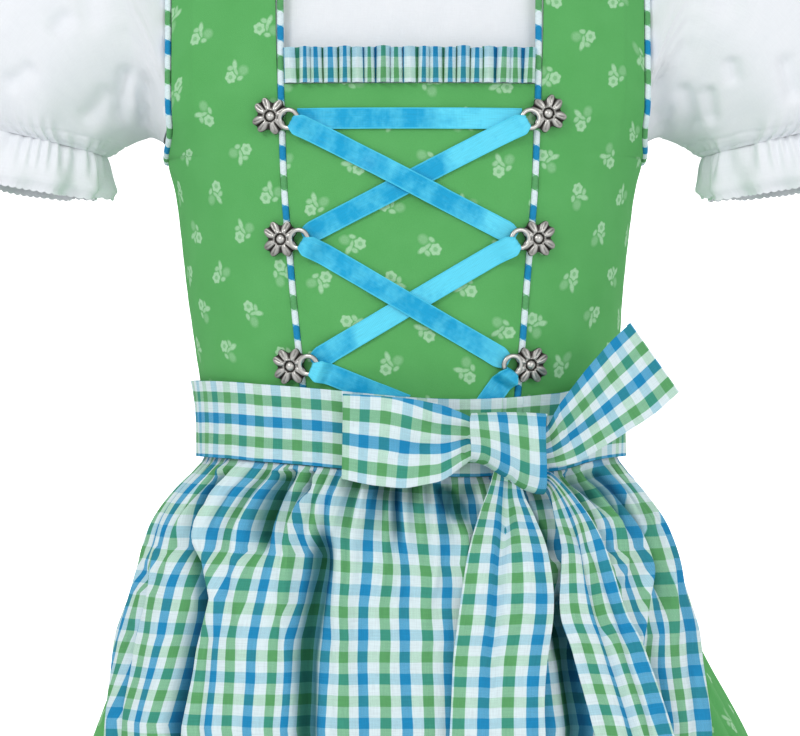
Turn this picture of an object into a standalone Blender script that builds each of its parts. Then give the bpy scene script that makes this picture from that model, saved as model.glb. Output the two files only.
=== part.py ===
"""A child's dirndl set, EU size 104, in the shape it has when worn: laced dress, gathered apron with a bow,
and a white puff-sleeved blouse under it.

Run it with: blender --background --python part.py

Frame: +Z up, the front faces -Y, +X is the wearer's left. The origin is the middle of the shoulder line that
carries the set. Sizes are written in millimetres and scaled once, where a mesh or a curve is made.
Angle t goes round the body from the centre front (0), by the wearer's left side (90), to the back (180).
"""

import math

import bmesh
import bpy
from mathutils import Matrix, Vector

MM = 0.001

# ---- the general figure that fills the set ------------------------------------------------------
SQUARENESS = 2.5  # exponent of the torso's superellipse
BACK_DEPTH = 0.95  # the back is this much flatter than the front
TORSO = [  # height, half the width, half the depth
    dict(z=-330, wide=93.4, deep=76.0),
    dict(z=-290, wide=93.4, deep=76.0),
    dict(z=-274, wide=94.6, deep=76.8),
    dict(z=-264, wide=97.2, deep=78.0),
    dict(z=-235, wide=99.2, deep=78.6),
    dict(z=-207, wide=102.4, deep=79.2),
    dict(z=-186, wide=105.0, deep=79.4),
    dict(z=-168, wide=109.5, deep=78.6),
    dict(z=-145, wide=122.0, deep=77.0),
]
CHEST_TOP = -145.0  # above this height the surface bends back over the shoulder
NECK_HALF = 60.0  # where the shoulder starts to fall
SHOULDER_FALL = 0.40
LEAN = [  # how far the worn set stands out of the middle: the chest to the right arm, the hem to the left
    dict(z=-620, x=7.0),
    dict(z=-440, x=4.0),
    dict(z=-395, x=0.0),
    dict(z=-285, x=0.0),
    dict(z=-235, x=-2.8),
    dict(z=0, x=-2.8),
]
TURNED = 0.75  # the chest also turns, so this share of the lean is lost at its front

# ---- cloth layers, as distances from the figure to the cloth's outer face -------------------------
WALL = 1.0
BLOUSE_OUT = -0.6
BODICE_OUT = 2.4
BAND_OUT = 5.2
TIE_OUT = 6.6
SEAM = 0.3  # between two pieces that are sewn together
SIDE_ROWS = [-268, -240, -207, -186, -172, -168.4]  # heights of the panels' net lines below the armhole
STRAP_TURNS = [15, 30, 45, 60, 75, 89.4]  # and over the shoulder, which is at 90
FAN_COLUMNS = 3  # net lines that spread below the armhole

# ---- bodice ---------------------------------------------------------------------------------------
WAIST_SEAM = -296.0
FRONT_TOP = -138.4  # top edge of the centre front panel
FRILL_TOP = -122.0
ARMHOLE_LOW = -172.0
STRAP_OUTER = 108.5
BACK_NECK_LOW = -78.0
PIPING_R = 1.3
PRINCESS = [  # the piped seam beside the centre front: height and distance from the middle
    dict(z=-300, x=46.8),
    dict(z=-277, x=48.5),
    dict(z=-252, x=51.2),
    dict(z=-217, x=54.1),
    dict(z=-186, x=56.8),
    dict(z=-139, x=58.3),
    dict(z=-110, x=59.2),
    dict(z=0, x=60.0),
]

# ---- lacing: ring centres of the three pairs of hooks ----------------------------------------------
HOOKS = [
    dict(row="top", x=54.3, z=-154.5),
    dict(row="middle", x=49.4, z=-208.7),
    dict(row="low", x=45.6, z=-265.5),
]
HOOK_REACH = 8.9  # from the ring's centre to the flower's centre
FLOWER_R = 9.0
FLOWER_NOTCH = 0.46
RING_R = 5.1
RING_HOLE_R = 3.1
HOOK_THICK = 1.8
HOOK_LIFT = 4.2  # the hook's underside, measured from the figure
LACE_END_RIGHT = (-2.0, -283.5)  # where the ribbon's ends go under the band
LACE_END_LEFT = (30.0, -288.0)
LACE_WIDE = 9.6
LACE_THICK = 0.8
LACE_COLUMNS = 12

# ---- apron and skirt ---------------------------------------------------------------------------------
BAND_TOP = -273.0
BAND_HIGH = 35.0
BAND_DIP = 8.0  # the knot pulls the band down by this much
DIP_AT_X = 23.5
DIP_REACH = 70.0
SKIRT_HEM = -620.0
APRON_HEM = -590.0
SKIRT = [  # the skirt's mean form
    dict(z=-296, wide=95.4, deep=78.0),
    dict(z=-311, wide=96.0, deep=78.6),
    dict(z=-319, wide=102.0, deep=84.0),
    dict(z=-336, wide=110.3, deep=93.5),
    dict(z=-371, wide=121.5, deep=104.5),
    dict(z=-407, wide=135.5, deep=116.5),
    dict(z=-440, wide=151.0, deep=129.0),
    dict(z=-520, wide=179.0, deep=153.0),
    dict(z=-620, wide=207.0, deep=177.0),
]
APRON_EDGE = [  # angle of the apron's side edges
    dict(z=-309, t=99.0),
    dict(z=-340, t=93.0),
    dict(z=-370, t=84.0),
    dict(z=-440, t=68.0),
    dict(z=-520, t=63.0),
    dict(z=-590, t=60.0),
]
APRON_GATHERS = 20  # at the band; every two of them run together into one deep fold
APRON_FOLD_HIGH = 7.5
APRON_GATHER_HIGH = 4.0
APRON_LIFT = 5.6  # the apron's valleys lie this far outside the skirt's mean form
APRON_LIFT_TOP = 2.3
SKIRT_GATHERS = 18  # round the part that the apron leaves free
SKIRT_FREE = 58.0  # from this angle back
SKIRT_FOLD_HIGH = 8.0
SKIRT_GATHER_HIGH = 4.0
SKIRT_ROWS = 7
APRON_LIFT_EDGE = 3.2
UNDER_APRON = 0.2  # the skirt's folds are pressed flat by this much under the apron

# ---- bow ------------------------------------------------------------------------------------------------
BACK_SPLIT = 1.0  # half the space between the ties where they cross, each bunched to half its width
KNOT = dict(x=43.5, z=-305.0, wide=34.0, high=37.0, deep=19.0, back=0.15)
LOOP_TILT = 8.5  # the loops lean forward over the gathers below the band
LOOP_RIGHT = [  # seen from the front: top and bottom edge from the knot to the fold, and how far it puffs out
    dict(at=0.00, top=(35.0, -296.0), low=(35.0, -312.5), puff=4.0),
    dict(at=0.14, top=(25.5, -291.6), low=(25.5, -314.2), puff=4.6),
    dict(at=0.30, top=(17.0, -289.5), low=(17.0, -321.0), puff=9.0),
    dict(at=0.55, top=(1.0, -285.5), low=(-4.0, -326.0), puff=12.0),
    dict(at=0.80, top=(-17.0, -282.0), low=(-19.0, -323.5), puff=9.0),
    dict(at=1.00, top=(-31.0, -280.5), low=(-31.5, -318.5), puff=4.0),
]
LOOP_LEFT = [
    dict(at=0.00, top=(52.0, -299.0), low=(53.0, -311.0), puff=3.0),
    dict(at=0.14, top=(61.0, -294.0), low=(64.0, -311.5), puff=5.0),
    dict(at=0.30, top=(66.0, -283.5), low=(74.5, -309.5), puff=8.0),
    dict(at=0.55, top=(76.5, -270.5), low=(91.5, -299.0), puff=11.0),
    dict(at=0.80, top=(89.5, -255.5), low=(109.0, -288.0), puff=9.0),
    dict(at=1.00, top=(99.5, -246.5), low=(121.0, -277.5), puff=4.0),
]
TAIL_FRONT = [  # the two edges of the hanging ends, row by row, and how far they hang in front of the folds
    dict(a=(35.5, -323.8), b=(50.0, -324.4), lift=1.0),
    dict(a=(30.5, -332.0), b=(54.5, -334.0), lift=1.0),
    dict(a=(25.0, -350.0), b=(61.0, -350.0), lift=2.0),
    dict(a=(21.0, -375.0), b=(63.0, -375.0), lift=2.5),
    dict(a=(16.0, -412.0), b=(57.0, -412.0), lift=2.5),
    dict(a=(12.5, -440.0), b=(55.0, -440.0), lift=2.5),
    dict(a=(9.0, -498.0), b=(50.0, -500.0), lift=2.5),
]
TAIL_SIDE = [
    dict(a=(56.0, -320.4), b=(56.5, -314.0), lift=1.0),
    dict(a=(61.6, -321.6), b=(63.5, -314.4), lift=1.0),
    dict(a=(64.0, -332.0), b=(77.0, -329.0), lift=1.0),
    dict(a=(67.0, -348.0), b=(86.5, -346.0), lift=2.0),
    dict(a=(66.0, -375.0), b=(96.0, -375.0), lift=2.5),
    dict(a=(71.5, -395.0), b=(105.0, -395.0), lift=2.5),
    dict(a=(79.0, -440.0), b=(115.0, -440.0), lift=2.5),
    dict(a=(82.0, -490.0), b=(118.0, -487.0), lift=2.5),
]

# ---- blouse ----------------------------------------------------------------------------------------------
BLOUSE_HEM = -252.0
BLOUSE_EDGE = 112.6
BLOUSE_LOW = -158.5
BLOUSE_NECK_HALF = 50.0
BLOUSE_NECK_FRONT = -66.0
BLOUSE_NECK_BACK = -34.0
NECK_BINDING_R = 1.6
SLEEVE_TOP = [(116, -20), (150, -2), (212, -18), (250, -88), (253, -134), (215, -151)]
SLEEVE_UNDER = [(117, -157), (124, -159), (132, -163), (142, -167.5)]
SLEEVE_DEEP = [44, 54, 60, 54, 34]
SLEEVE_GATHERS = 10
SLEEVE_GATHER_HIGH = 0.055
CUFF_FRILL = 22.0
CUFF_FLARE = 8.0
CUFF_WAVES = 12
CUFF_WAVE_HIGH = 2.6
FRILL_WAVES = 15
FRILL_WAVE_HIGH = 1.9

GREEN = (0.13, 0.47, 0.15)
CHECK = (0.35, 0.62, 0.66)
WHITE = (0.80, 0.82, 0.85)
TURQUOISE = (0.02, 0.42, 0.72)
SILVER = (0.45, 0.44, 0.40)


# ---- small tools -------------------------------------------------------------------------------------------


def mix(a, b, share):
    return a + (b - a) * share


def smooth(x, low, high):
    share = min(1.0, max(0.0, (x - low) / (high - low)))
    return share * share * (3 - 2 * share)


def read(table, key, z):
    """The value of a column at height z: straight between rows, rounded by a three-point mean."""

    def straight(height):
        rows = sorted(table, key=lambda row: row["z"])
        if height <= rows[0]["z"]:
            return rows[0][key]
        for low, high in zip(rows, rows[1:]):
            if height <= high["z"]:
                return mix(low[key], high[key], (height - low["z"]) / (high["z"] - low["z"]))
        return rows[-1][key]

    blur = 5.0
    return (straight(z - blur) + 2 * straight(z) + straight(z + blur)) / 4


def bezier(points, share):
    """A point of the Bezier curve through a list of (a, b) control points."""
    now = [Vector(p) for p in points]
    while len(now) > 1:
        now = [a.lerp(b, share) for a, b in zip(now, now[1:])]
    return now[0]


def uneven(k, size):
    """A fixed, irregular number between -size and size for the k-th of a row of folds."""
    return size * math.sin(12.9898 * k + 4.1) * math.cos(3.7 * k)


# ---- the figure's surface -------------------------------------------------------------------------------------


def ring_point(t, z, out, table=TORSO, extra=0.0):
    """The point at angle t and height z, lying out outside the form that the table gives."""
    angle = math.radians(t)
    wide = read(table, "wide", z) + out
    deep = read(table, "deep", z) * (1.0 if math.cos(angle) > 0 else BACK_DEPTH) + out
    across, along = abs(math.sin(angle)) / wide, abs(math.cos(angle)) / deep
    radius = (across**SQUARENESS + along**SQUARENESS) ** (-1 / SQUARENESS) + extra
    return Vector((radius * math.sin(angle), -radius * math.cos(angle), z))


def chest_depth(x, z, out, back=False):
    """How far the torso reaches forward, or back, at distance x from the middle."""
    wide = read(TORSO, "wide", z) + out
    deep = read(TORSO, "deep", z) * (BACK_DEPTH if back else 1.0) + out
    return deep * max(0.0, 1 - (abs(x) / wide) ** SQUARENESS) ** (1 / SQUARENESS)


def shoulder_top(x, out):
    return out - max(0.0, abs(x) - NECK_HALF) * SHOULDER_FALL


def over_shoulder(x, turn, out):
    """A point of the line that runs at distance x from the front (turn 0), over the shoulder (90), to the back (180)."""
    angle = math.radians(turn)
    depth = chest_depth(x, CHEST_TOP, out, back=turn > 90)
    rise = shoulder_top(x, out) - CHEST_TOP
    return Vector((x, -depth * math.cos(angle), CHEST_TOP + rise * math.sin(angle)))


def turn_at(x, z, out):
    """The turn of over_shoulder at which the front reaches height z."""
    return math.degrees(math.asin(min(1.0, (z - CHEST_TOP) / (shoulder_top(x, out) - CHEST_TOP))))


def front_point(x, z, out):
    if z > CHEST_TOP:
        return over_shoulder(x, turn_at(x, z, out), out)
    return Vector((x, -chest_depth(x, z, out), z))


def angle_of(x, z, out, back=False):
    """The angle t of the point at distance x from the middle."""
    angle = math.degrees(math.atan2(x, chest_depth(x, z, out, back)))
    return 180 - angle if back else angle


def front_normal(x, z, out):
    step = 0.5
    across = front_point(x + step, z, out) - front_point(x - step, z, out)
    up = front_point(x, z + step, out) - front_point(x, z - step, out)
    return across.cross(up).normalized()


def dip(x):
    """How much the bow's weight lowers the band at x."""
    return BAND_DIP * math.exp(-(((x - DIP_AT_X) / DIP_REACH) ** 2)) * (1 - smooth(abs(x), 66, 95))


def lean(point):
    """The point in the worn set's stance."""
    front = smooth(-point.y, 0, 75) if point.z > -330 else 0.0
    return Vector((point.x + read(LEAN, "x", point.z) * (1 - TURNED * front), point.y, point.z))


# ---- making objects ----------------------------------------------------------------------------------------------


def clear_scene():
    for obj in list(bpy.data.objects):
        bpy.data.objects.remove(obj, do_unlink=True)


def material(name, colour, roughness=0.8, metallic=0.0):
    made = bpy.data.materials.get(name)
    if made is None:
        made = bpy.data.materials.new(name)
        made.use_nodes = True
        shader = made.node_tree.nodes["Principled BSDF"]
        shader.inputs["Base Color"].default_value = (*colour, 1)
        shader.inputs["Roughness"].default_value = roughness
        shader.inputs["Metallic"].default_value = metallic
    return made


def keep(obj, finish):
    obj.data.materials.append(finish)
    bpy.data.collections["dirndl"].objects.link(obj)
    return obj


def cloth(name, surface, columns, rows, finish, wall=WALL, tube=False, even=True, whole=False):
    """A cloth wall. surface(u, v) gives its outer face; u runs to the viewer's right and v runs up, both 0 to 1.

    tube joins its two side edges; whole adds its mirror image across the middle of the garment."""
    shape = bmesh.new()
    for side in (1, -1) if whole else (1,):
        grid = bmesh.ops.create_grid(shape, x_segments=columns, y_segments=rows, size=1.0)
        for vertex in grid["verts"]:
            u, v = (1 + side * vertex.co.x) / 2, (vertex.co.y + 1) / 2
            vertex.co = surface(u, v)
            vertex.co.x *= side
    if tube or whole:
        bmesh.ops.remove_doubles(shape, verts=shape.verts, dist=0.01)
    for vertex in shape.verts:
        vertex.co = lean(vertex.co) * MM
    mesh = bpy.data.meshes.new(name)
    shape.to_mesh(mesh)
    shape.free()
    obj = bpy.data.objects.new(name, mesh)
    thicken = obj.modifiers.new("wall", "SOLIDIFY")
    thicken.thickness = wall * MM
    thicken.offset = -1.0
    thicken.use_even_offset = even
    return keep(obj, finish)


def cord(name, points, radius, finish, sides=1):
    """A round cord through a list of points."""
    curve = bpy.data.curves.new(name, "CURVE")
    curve.dimensions = "3D"
    curve.bevel_depth = radius * MM
    curve.bevel_resolution = sides
    curve.use_fill_caps = True
    line = curve.splines.new("POLY")
    line.points.add(len(points) - 1)
    for place, point in zip(line.points, points):
        place.co = (*(lean(point) * MM), 1)
    return keep(bpy.data.objects.new(name, curve), finish)


# ---- bodice ----------------------------------------------------------------------------------------------------------


def side_angle(back):
    """The side seam, a little off 90 degrees so that the front and the back keep apart."""
    return 90.0 + (0.1 if back else -0.1)


def armhole_angle(z, x_edge, out, low, back=False):
    """Angle of an armhole's edge between its lowest point, at the side, and the height where the strap starts."""
    start = angle_of(x_edge, CHEST_TOP, out, back)
    bend = 1 - math.sqrt(max(0.0, 1 - ((CHEST_TOP - z) / (CHEST_TOP - low)) ** 2))
    return mix(start, side_angle(back), bend)


def armhole(a, edge, low, out, side):
    """A point of the loop round an armhole: a is 0 on the shoulder, 90 in front, 180 under the arm, 270 behind."""
    back = a > 180
    if a <= 90 or a >= 270:
        point = over_shoulder(edge, 90 - a if a <= 90 else 450 - a, out)
    else:
        z = CHEST_TOP - (CHEST_TOP - low) * math.sin(math.radians(270 - a if back else a - 90))
        t = 90.0 if a == 180 else armhole_angle(z, edge, out, low, back)
        point = ring_point(t, z, out)
    point.x *= side
    return point


def panel_rows(bottom, low, neck_low=None):
    """The net's rows from the bottom to the shoulder: heights below CHEST_TOP, then turns over the shoulder."""
    heights = [bottom] + [z for z in SIDE_ROWS if bottom + 8 < z < low - 1] + [low]
    heights += [CHEST_TOP - (CHEST_TOP - low) * math.cos(math.radians(30 * k)) for k in (1, 2, 3)]
    turns = STRAP_TURNS
    if neck_low is not None:
        first = turn_at(0.0, neck_low, 0.0)
        turns = [first, first + 3.0, first + 8.5] + [t for t in STRAP_TURNS if t > first + 14]
    return [("height", z) for z in heights] + [("turn", t) for t in turns]


def panel(name, rows, columns, out, inner_x, x_edge, back, side, finish, wall=WALL, whole=False):
    """Half a front or back from its inner edge, inner_x(z) from the middle, to the armhole; whole mirrors it."""
    low = next(z for kind, z in rows if kind == "height" and z in (ARMHOLE_LOW, BLOUSE_LOW))
    start = angle_of(x_edge, CHEST_TOP, out, back)
    middle = 180.0 if back else 0.0
    fan = mix(start, middle, 0.12)  # up to this angle the net's lines run straight up to the shoulder

    def column_angle(u, inner, outer):
        k = u * columns
        if k <= columns - FAN_COLUMNS:
            return mix(inner, fan, k / (columns - FAN_COLUMNS))
        return mix(fan, outer, 1 - (columns - k) / FAN_COLUMNS)

    def surface(u, v):
        u = u if (side > 0) != back else 1 - u
        kind, value = rows[round(v * (len(rows) - 1))]
        if kind == "height":
            z = value
            outer = armhole_angle(z, x_edge, out, low, back) if z > low else side_angle(back)
            if rows[0][1] == WAIST_SEAM and not back:
                x = ring_point(column_angle(u, angle_of(inner_x(z), z, out, back), outer), z, out).x
                z -= dip(side * x) * max(0.0, (value - low) / (WAIST_SEAM - low))
            point = ring_point(column_angle(u, angle_of(inner_x(z), z, out, back), outer), z, out)
        else:
            height = mix(CHEST_TOP, 0.0, math.sin(math.radians(value)))
            first = angle_of(inner_x(CHEST_TOP), CHEST_TOP, out, back)
            x0 = ring_point(column_angle(u, first, start), CHEST_TOP, out).x
            share = (x0 - inner_x(CHEST_TOP)) / (x_edge - inner_x(CHEST_TOP))
            x = mix(inner_x(height), x_edge, share)
            point = over_shoulder(x, 180 - value if back else value, out)
        point.x *= side
        return point

    cloth(name, surface, columns, len(rows) - 1, finish, wall=wall, whole=whole)


def round_neck(half, low, least):
    """Inner edge of a panel with a round neckline: distance from the middle at a height."""
    return lambda z: max(least, half * math.sqrt(1 - min(1.0, max(0.0, z / low)) ** 2))


def bodice():
    green = material("flowered_cotton", GREEN)

    def front(u, v):
        z = mix(WAIST_SEAM, FRONT_TOP, v)
        z -= dip(mix(-48, 48, u)) * max(0.0, 1 - v * 1.27)
        half = read(PRINCESS, "x", z) - PIPING_R - SEAM
        return front_point(mix(-half, half, u), z, BODICE_OUT)

    cloth("bodice_front_centre", front, 10, 6, green)

    def beside(z):
        return read(PRINCESS, "x", z) + PIPING_R + SEAM

    neck = round_neck(beside(0.0), BACK_NECK_LOW, SEAM / 2)
    front_rows = panel_rows(WAIST_SEAM, ARMHOLE_LOW)
    back_rows = panel_rows(WAIST_SEAM, ARMHOLE_LOW, BACK_NECK_LOW)
    for side, name in ((-1, "right"), (1, "left")):
        front_name, back_name = f"bodice_front_side_{name}", f"bodice_back_{name}"
        panel(front_name, front_rows, 5, BODICE_OUT, beside, STRAP_OUTER, False, side, green)
        panel(back_name, back_rows, 7, BODICE_OUT, neck, STRAP_OUTER, True, side, green)


def neck_frill():
    """The gathered strip of check cloth that stands above the centre front panel."""

    def surface(u, v):
        z = mix(FRONT_TOP + SEAM, FRILL_TOP, v)
        half = read(PRINCESS, "x", z) - PIPING_R - SEAM
        wave = math.sin(2 * math.pi * FRILL_WAVES * (u + 0.008 * math.sin(17 * u)))
        return front_point(mix(-half, half, u), z, BODICE_OUT + FRILL_WAVE_HIGH * (0.55 + 0.45 * wave) * mix(0.7, 1, v))

    cloth("neck_frill", surface, 3 * FRILL_WAVES, 1, material("check_cotton", CHECK), even=False)


def neck_line(rows, edge_at, out, sit, back, gap=PIPING_R + SEAM):
    """A cord's line that keeps its gap to the neck edge of a panel, from the middle up to the row before the last."""
    edge = []
    for kind, turn in rows:
        if kind == "turn":
            x = edge_at(mix(CHEST_TOP, 0.0, math.sin(math.radians(turn)))) if edge else 0.0
            edge.append(Vector((x, over_shoulder(x, turn, out).z)))
    edge.insert(0, Vector((-edge[1].x, edge[1].y)))
    line = []
    for before, here, after in zip(edge, edge[1:], edge[2:]):
        one, two = (here - before).normalized(), (after - here).normalized()
        mitre = (Vector((-one.y, one.x)) + Vector((-two.y, two.x))).normalized()
        moved = here + mitre * gap / max(0.5, mitre.dot(Vector((-one.y, one.x))))
        turn = turn_at(moved.x, moved.y, sit)
        line.append(over_shoulder(moved.x, 180 - turn if back else turn, sit))
    return line


def piping():
    """Covered cord in the seams beside the front panel and round the armholes."""
    back_rows = panel_rows(WAIST_SEAM, ARMHOLE_LOW, BACK_NECK_LOW)
    finish = material("check_piping", CHECK)
    sit = BODICE_OUT - WALL / 2 + 0.6
    for side, name in ((-1, "right"), (1, "left")):
        heights = [mix(WAIST_SEAM + 8, CHEST_TOP, k / 9) for k in range(10)]
        line = [front_point(read(PRINCESS, "x", z), z, sit) for z in heights]
        line += [over_shoulder(mix(58.2, 60.0, k / 6), 15.0 * k, sit) for k in range(1, 7)]
        neck = round_neck(read(PRINCESS, "x", 0.0) + PIPING_R + SEAM, BACK_NECK_LOW, 0.0)
        behind = neck_line(back_rows, neck, BODICE_OUT, sit, True)
        behind[0].x = PIPING_R + SEAM
        line += reversed(behind)
        for point in line:
            point.x *= side
        cord(f"piping_neck_{name}", line, PIPING_R, finish)

        edge = STRAP_OUTER + SEAM + PIPING_R
        low = ARMHOLE_LOW + SEAM + PIPING_R
        loop = [armhole(15.0 * k, edge, low, sit, side) for k in range(6)]
        loop += [armhole(90 + 30.0 * k, edge, low, sit, side) for k in range(6)]
        loop += [armhole(270 + 15.0 * k, edge, low, sit, side) for k in range(6)]
        made = cord(f"piping_armhole_{name}", loop, PIPING_R, finish)
        made.data.splines[0].use_cyclic_u = True


# ---- lacing ------------------------------------------------------------------------------------------------------------


def flower_outline():
    """The flower with four long and four short petals, and its ring, as one closed outline round the flower's centre."""
    points = []
    for k in range(13):
        turn = math.radians(45 + 22.5 * k)
        petal = 1 - FLOWER_NOTCH * (0.5 - 0.5 * math.cos(4 * turn + math.pi))
        points.append(Vector((math.cos(turn), math.sin(turn))) * FLOWER_R * petal)
    for k in range(7):
        turn = math.radians(-125 + 250 * k / 6)
        points.append(Vector((HOOK_REACH + RING_R * math.cos(turn), RING_R * math.sin(turn))))
    return points


def hooks():
    finish = material("old_silver", SILVER, roughness=0.35, metallic=1.0)
    outline = bpy.data.curves.new("hook", "CURVE")
    outline.dimensions = "2D"
    outline.fill_mode = "BOTH"
    outline.extrude = HOOK_THICK / 2 * MM
    hole = [
        Vector((HOOK_REACH + RING_HOLE_R * math.cos(2 * math.pi * k / 8), RING_HOLE_R * math.sin(2 * math.pi * k / 8)))
        for k in range(8)
    ]
    for points in (flower_outline(), hole):
        line = outline.splines.new("POLY")
        line.points.add(len(points) - 1)
        line.use_cyclic_u = True
        for place, point in zip(line.points, points):
            place.co = (point.x * MM, point.y * MM, 0, 1)
    outline.materials.append(finish)
    for row in HOOKS:
        for side, name in ((-1, "right"), (1, "left")):
            obj = bpy.data.objects.new(f"hook_{row['row']}_{name}", outline)
            flower = side * (row["x"] + HOOK_REACH * 0.96)
            ring = front_point(side * row["x"], row["z"], HOOK_LIFT)
            place = front_point(flower, row["z"], HOOK_LIFT)
            out = (front_normal(side * row["x"], row["z"], 0) + front_normal(flower, row["z"], 0)).normalized()
            to_ring = (ring - place).normalized()
            out = (out - to_ring * out.dot(to_ring)).normalized()
            turn = Matrix((to_ring, out.cross(to_ring), out)).transposed()
            seat = lean(place) + out * (HOOK_THICK / 2 + 0.5)
            obj.matrix_world = Matrix.Translation(seat * MM) @ turn.to_4x4()
            bpy.data.collections["dirndl"].objects.link(obj)


def lace_run(name, start, end, finish, over, leave=True, arrive=True, clear=0.0, fall=9.0):
    """One run of the ribbon between two rings. start and end are (x, z); over lifts it above the run that it crosses.

    It leaves the first ring through its hole and over its rim, and it goes under the rim of the last one.
    clear is how far it stays above the bar between the top rings; past the rim it comes down within fall."""
    low = BODICE_OUT + 0.4 + LACE_THICK
    length = (Vector(end) - Vector(start)).length
    along = (Vector(end) - Vector(start)) / length
    across = Vector((-along.y, along.x))
    rim = RING_R + 0.5
    top = HOOK_LIFT + 0.5 + HOOK_THICK + 1.1 + LACE_THICK
    middle = 0.5 * length

    def lift(s):
        high = low + (LACE_THICK + 0.6 if over else 0.0) * (1 - smooth(abs(s - middle), 13, 22))
        if leave:
            high = mix(high, low + LACE_THICK + 0.5, 1 - smooth(s, clear, clear + 8))
            high = mix(high, top, smooth(s, -1.6, 1.7) * (1 - smooth(s, rim + 0.5, rim + fall)))
        return high

    def half_width(s):
        half = LACE_WIDE / 2
        if leave:
            half = mix(1.2, half, smooth(s, 2.6, rim + 4.0))
        if arrive:
            half = mix(2.2, half, smooth(length - s, 1.0, rim + 3.5))
        return half

    first = 0.4 if leave else 0.0
    last = length - (2.4 if arrive else 0.0)

    def surface(u, v):
        s = mix(first, last, u)
        place = Vector(start) + along * s + across * mix(-1, 1, v) * half_width(s)
        base = front_point(place.x, place.y, 0.0)
        return base + front_normal(place.x, place.y, 0.0) * lift(s)

    def spread(u, v):
        """Net lines close together at the ring that the run leaves."""
        return surface(u**1.7 if leave else u, v)

    cloth(name, spread, LACE_COLUMNS, 1, finish, wall=LACE_THICK)


def lacing():
    finish = material("satin_ribbon", TURQUOISE, roughness=0.35)
    ring = {(row["row"], side): (side * row["x"], row["z"]) for row in HOOKS for side in (-1, 1)}
    top_left, top_right = ring["top", -1], ring["top", 1]
    bar = 4.2
    bar_ends = ((top_left[0] + bar, top_left[1]), (top_right[0] - bar, top_right[1]))
    lace_run("lace_bar", *bar_ends, finish, False, leave=False, arrive=False)
    lace_run("lace_upper_over", ring["top", -1], ring["middle", 1], finish, True, clear=24)
    lace_run("lace_upper_under", ring["top", 1], ring["middle", -1], finish, False, clear=24)
    lace_run("lace_lower_over", ring["middle", -1], ring["low", 1], finish, True)
    lace_run("lace_lower_under", ring["middle", 1], ring["low", -1], finish, False)
    lace_run("lace_end_right", ring["low", -1], LACE_END_RIGHT, finish, False, arrive=False, fall=5.0)
    lace_run("lace_end_left", ring["low", 1], LACE_END_LEFT, finish, False, arrive=False, fall=5.0)


# ---- skirt and apron --------------------------------------------------------------------------------------------------


def skirt_level(k, rows):
    """Heights shared by the skirt's and the apron's nets, closer together near the band; k is 0 at the top."""
    return mix(BAND_TOP - BAND_HIGH - SEAM, APRON_HEM, (k / rows) ** 1.6)


def skirt_point(t, level, extra):
    """A point outside the skirt's mean form. Near the band the level lines follow the band's dip."""
    point = ring_point(t, level, 0.0, SKIRT, extra)
    if abs(t) < 90:
        point.z -= dip(point.x) * (1 - smooth(-level, 320, 400))
    return point


def fold_wave(share, count):
    """Folds and gathers at a share of the way round: both from 0 in a valley to 1 on a crest, unevenly spaced."""
    ends = min(1.0, 4 * count * share * (1 - share))
    place = count * share + 0.16 * math.sin(5.1 * share * count / 6) * ends
    gather = 0.5 - 0.5 * math.cos(2 * math.pi * place)
    fold = 0.5 - 0.5 * math.cos(math.pi * place + 0.5 * math.sin(2.3 * share * count / 4) * ends)
    return fold, gather


def apron_edge(z):
    return read(APRON_EDGE, "t", z)


def skirt():
    free = 360 - 2 * SKIRT_FREE
    back_columns, front_columns = 4 * SKIRT_GATHERS, 10
    columns = back_columns + front_columns
    levels = [SKIRT_HEM] + [skirt_level(k, SKIRT_ROWS) for k in range(SKIRT_ROWS, -1, -1)] + [WAIST_SEAM - 3 * SEAM]

    def surface(u, v):
        level = levels[round(v * (len(levels) - 1))]
        k = u * columns
        if k <= front_columns:
            t, fold, gather = mix(-SKIRT_FREE, SKIRT_FREE, k / front_columns), 0.0, 0.0
        else:
            share = (k - front_columns) / back_columns
            t = SKIRT_FREE + free * share
            fold, gather = fold_wave(share, SKIRT_GATHERS)
        turned = t if t <= 180 else t - 360
        edge = apron_edge(level)
        pressed = mix(UNDER_APRON, 1.0, smooth(abs(turned), edge + 1, edge + 10))
        grown = smooth(-level, 312, 345)
        high = SKIRT_FOLD_HIGH * fold * mix(0.35, 1, smooth(-level, 330, 430))
        high += SKIRT_GATHER_HIGH * gather * mix(1, 0.25, smooth(-level, 340, 500))
        return skirt_point(turned, level, (high - 4.0) * grown * pressed)

    cloth("skirt", surface, columns, len(levels) - 1, material("flowered_cotton", GREEN), tube=True, even=False)


def under_knot(point):
    """1 where the knot presses the apron flat, 0 away from it."""
    return math.exp(-(((point.x - KNOT["x"]) / 24) ** 2)) * (1 - smooth(-point.z, 328, 352))


def apron_high(level, fold, gather):
    """How far the apron stands off the skirt's mean form: lift of its valleys, and height of its folds."""
    below = skirt_level(0, 1) - level
    lift = mix(APRON_LIFT_TOP, APRON_LIFT, smooth(below, 2, 16))
    high = APRON_FOLD_HIGH * fold * mix(0.5, 1, smooth(below, 20, 110))
    high += APRON_GATHER_HIGH * gather * mix(1, 0.3, smooth(below, 30, 170))
    return lift, high * smooth(below, -2, 26)


def apron():
    def surface(u, v):
        level = skirt_level(round((1 - v) * SKIRT_ROWS), SKIRT_ROWS)
        t = mix(-1, 1, u) * apron_edge(level)
        lift, high = apron_high(level, *fold_wave(u, APRON_GATHERS))
        lift = mix(lift, min(lift, APRON_LIFT_EDGE), smooth(abs(2 * u - 1), 0.9, 1.0))
        flat = under_knot(skirt_point(t, level, lift))
        return skirt_point(t, level, lift + high * (1 - 0.75 * flat) - 1.5 * flat * (lift > 4))

    cloth("apron_skirt", surface, 4 * APRON_GATHERS, SKIRT_ROWS, material("check_cotton", CHECK), even=False)


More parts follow.
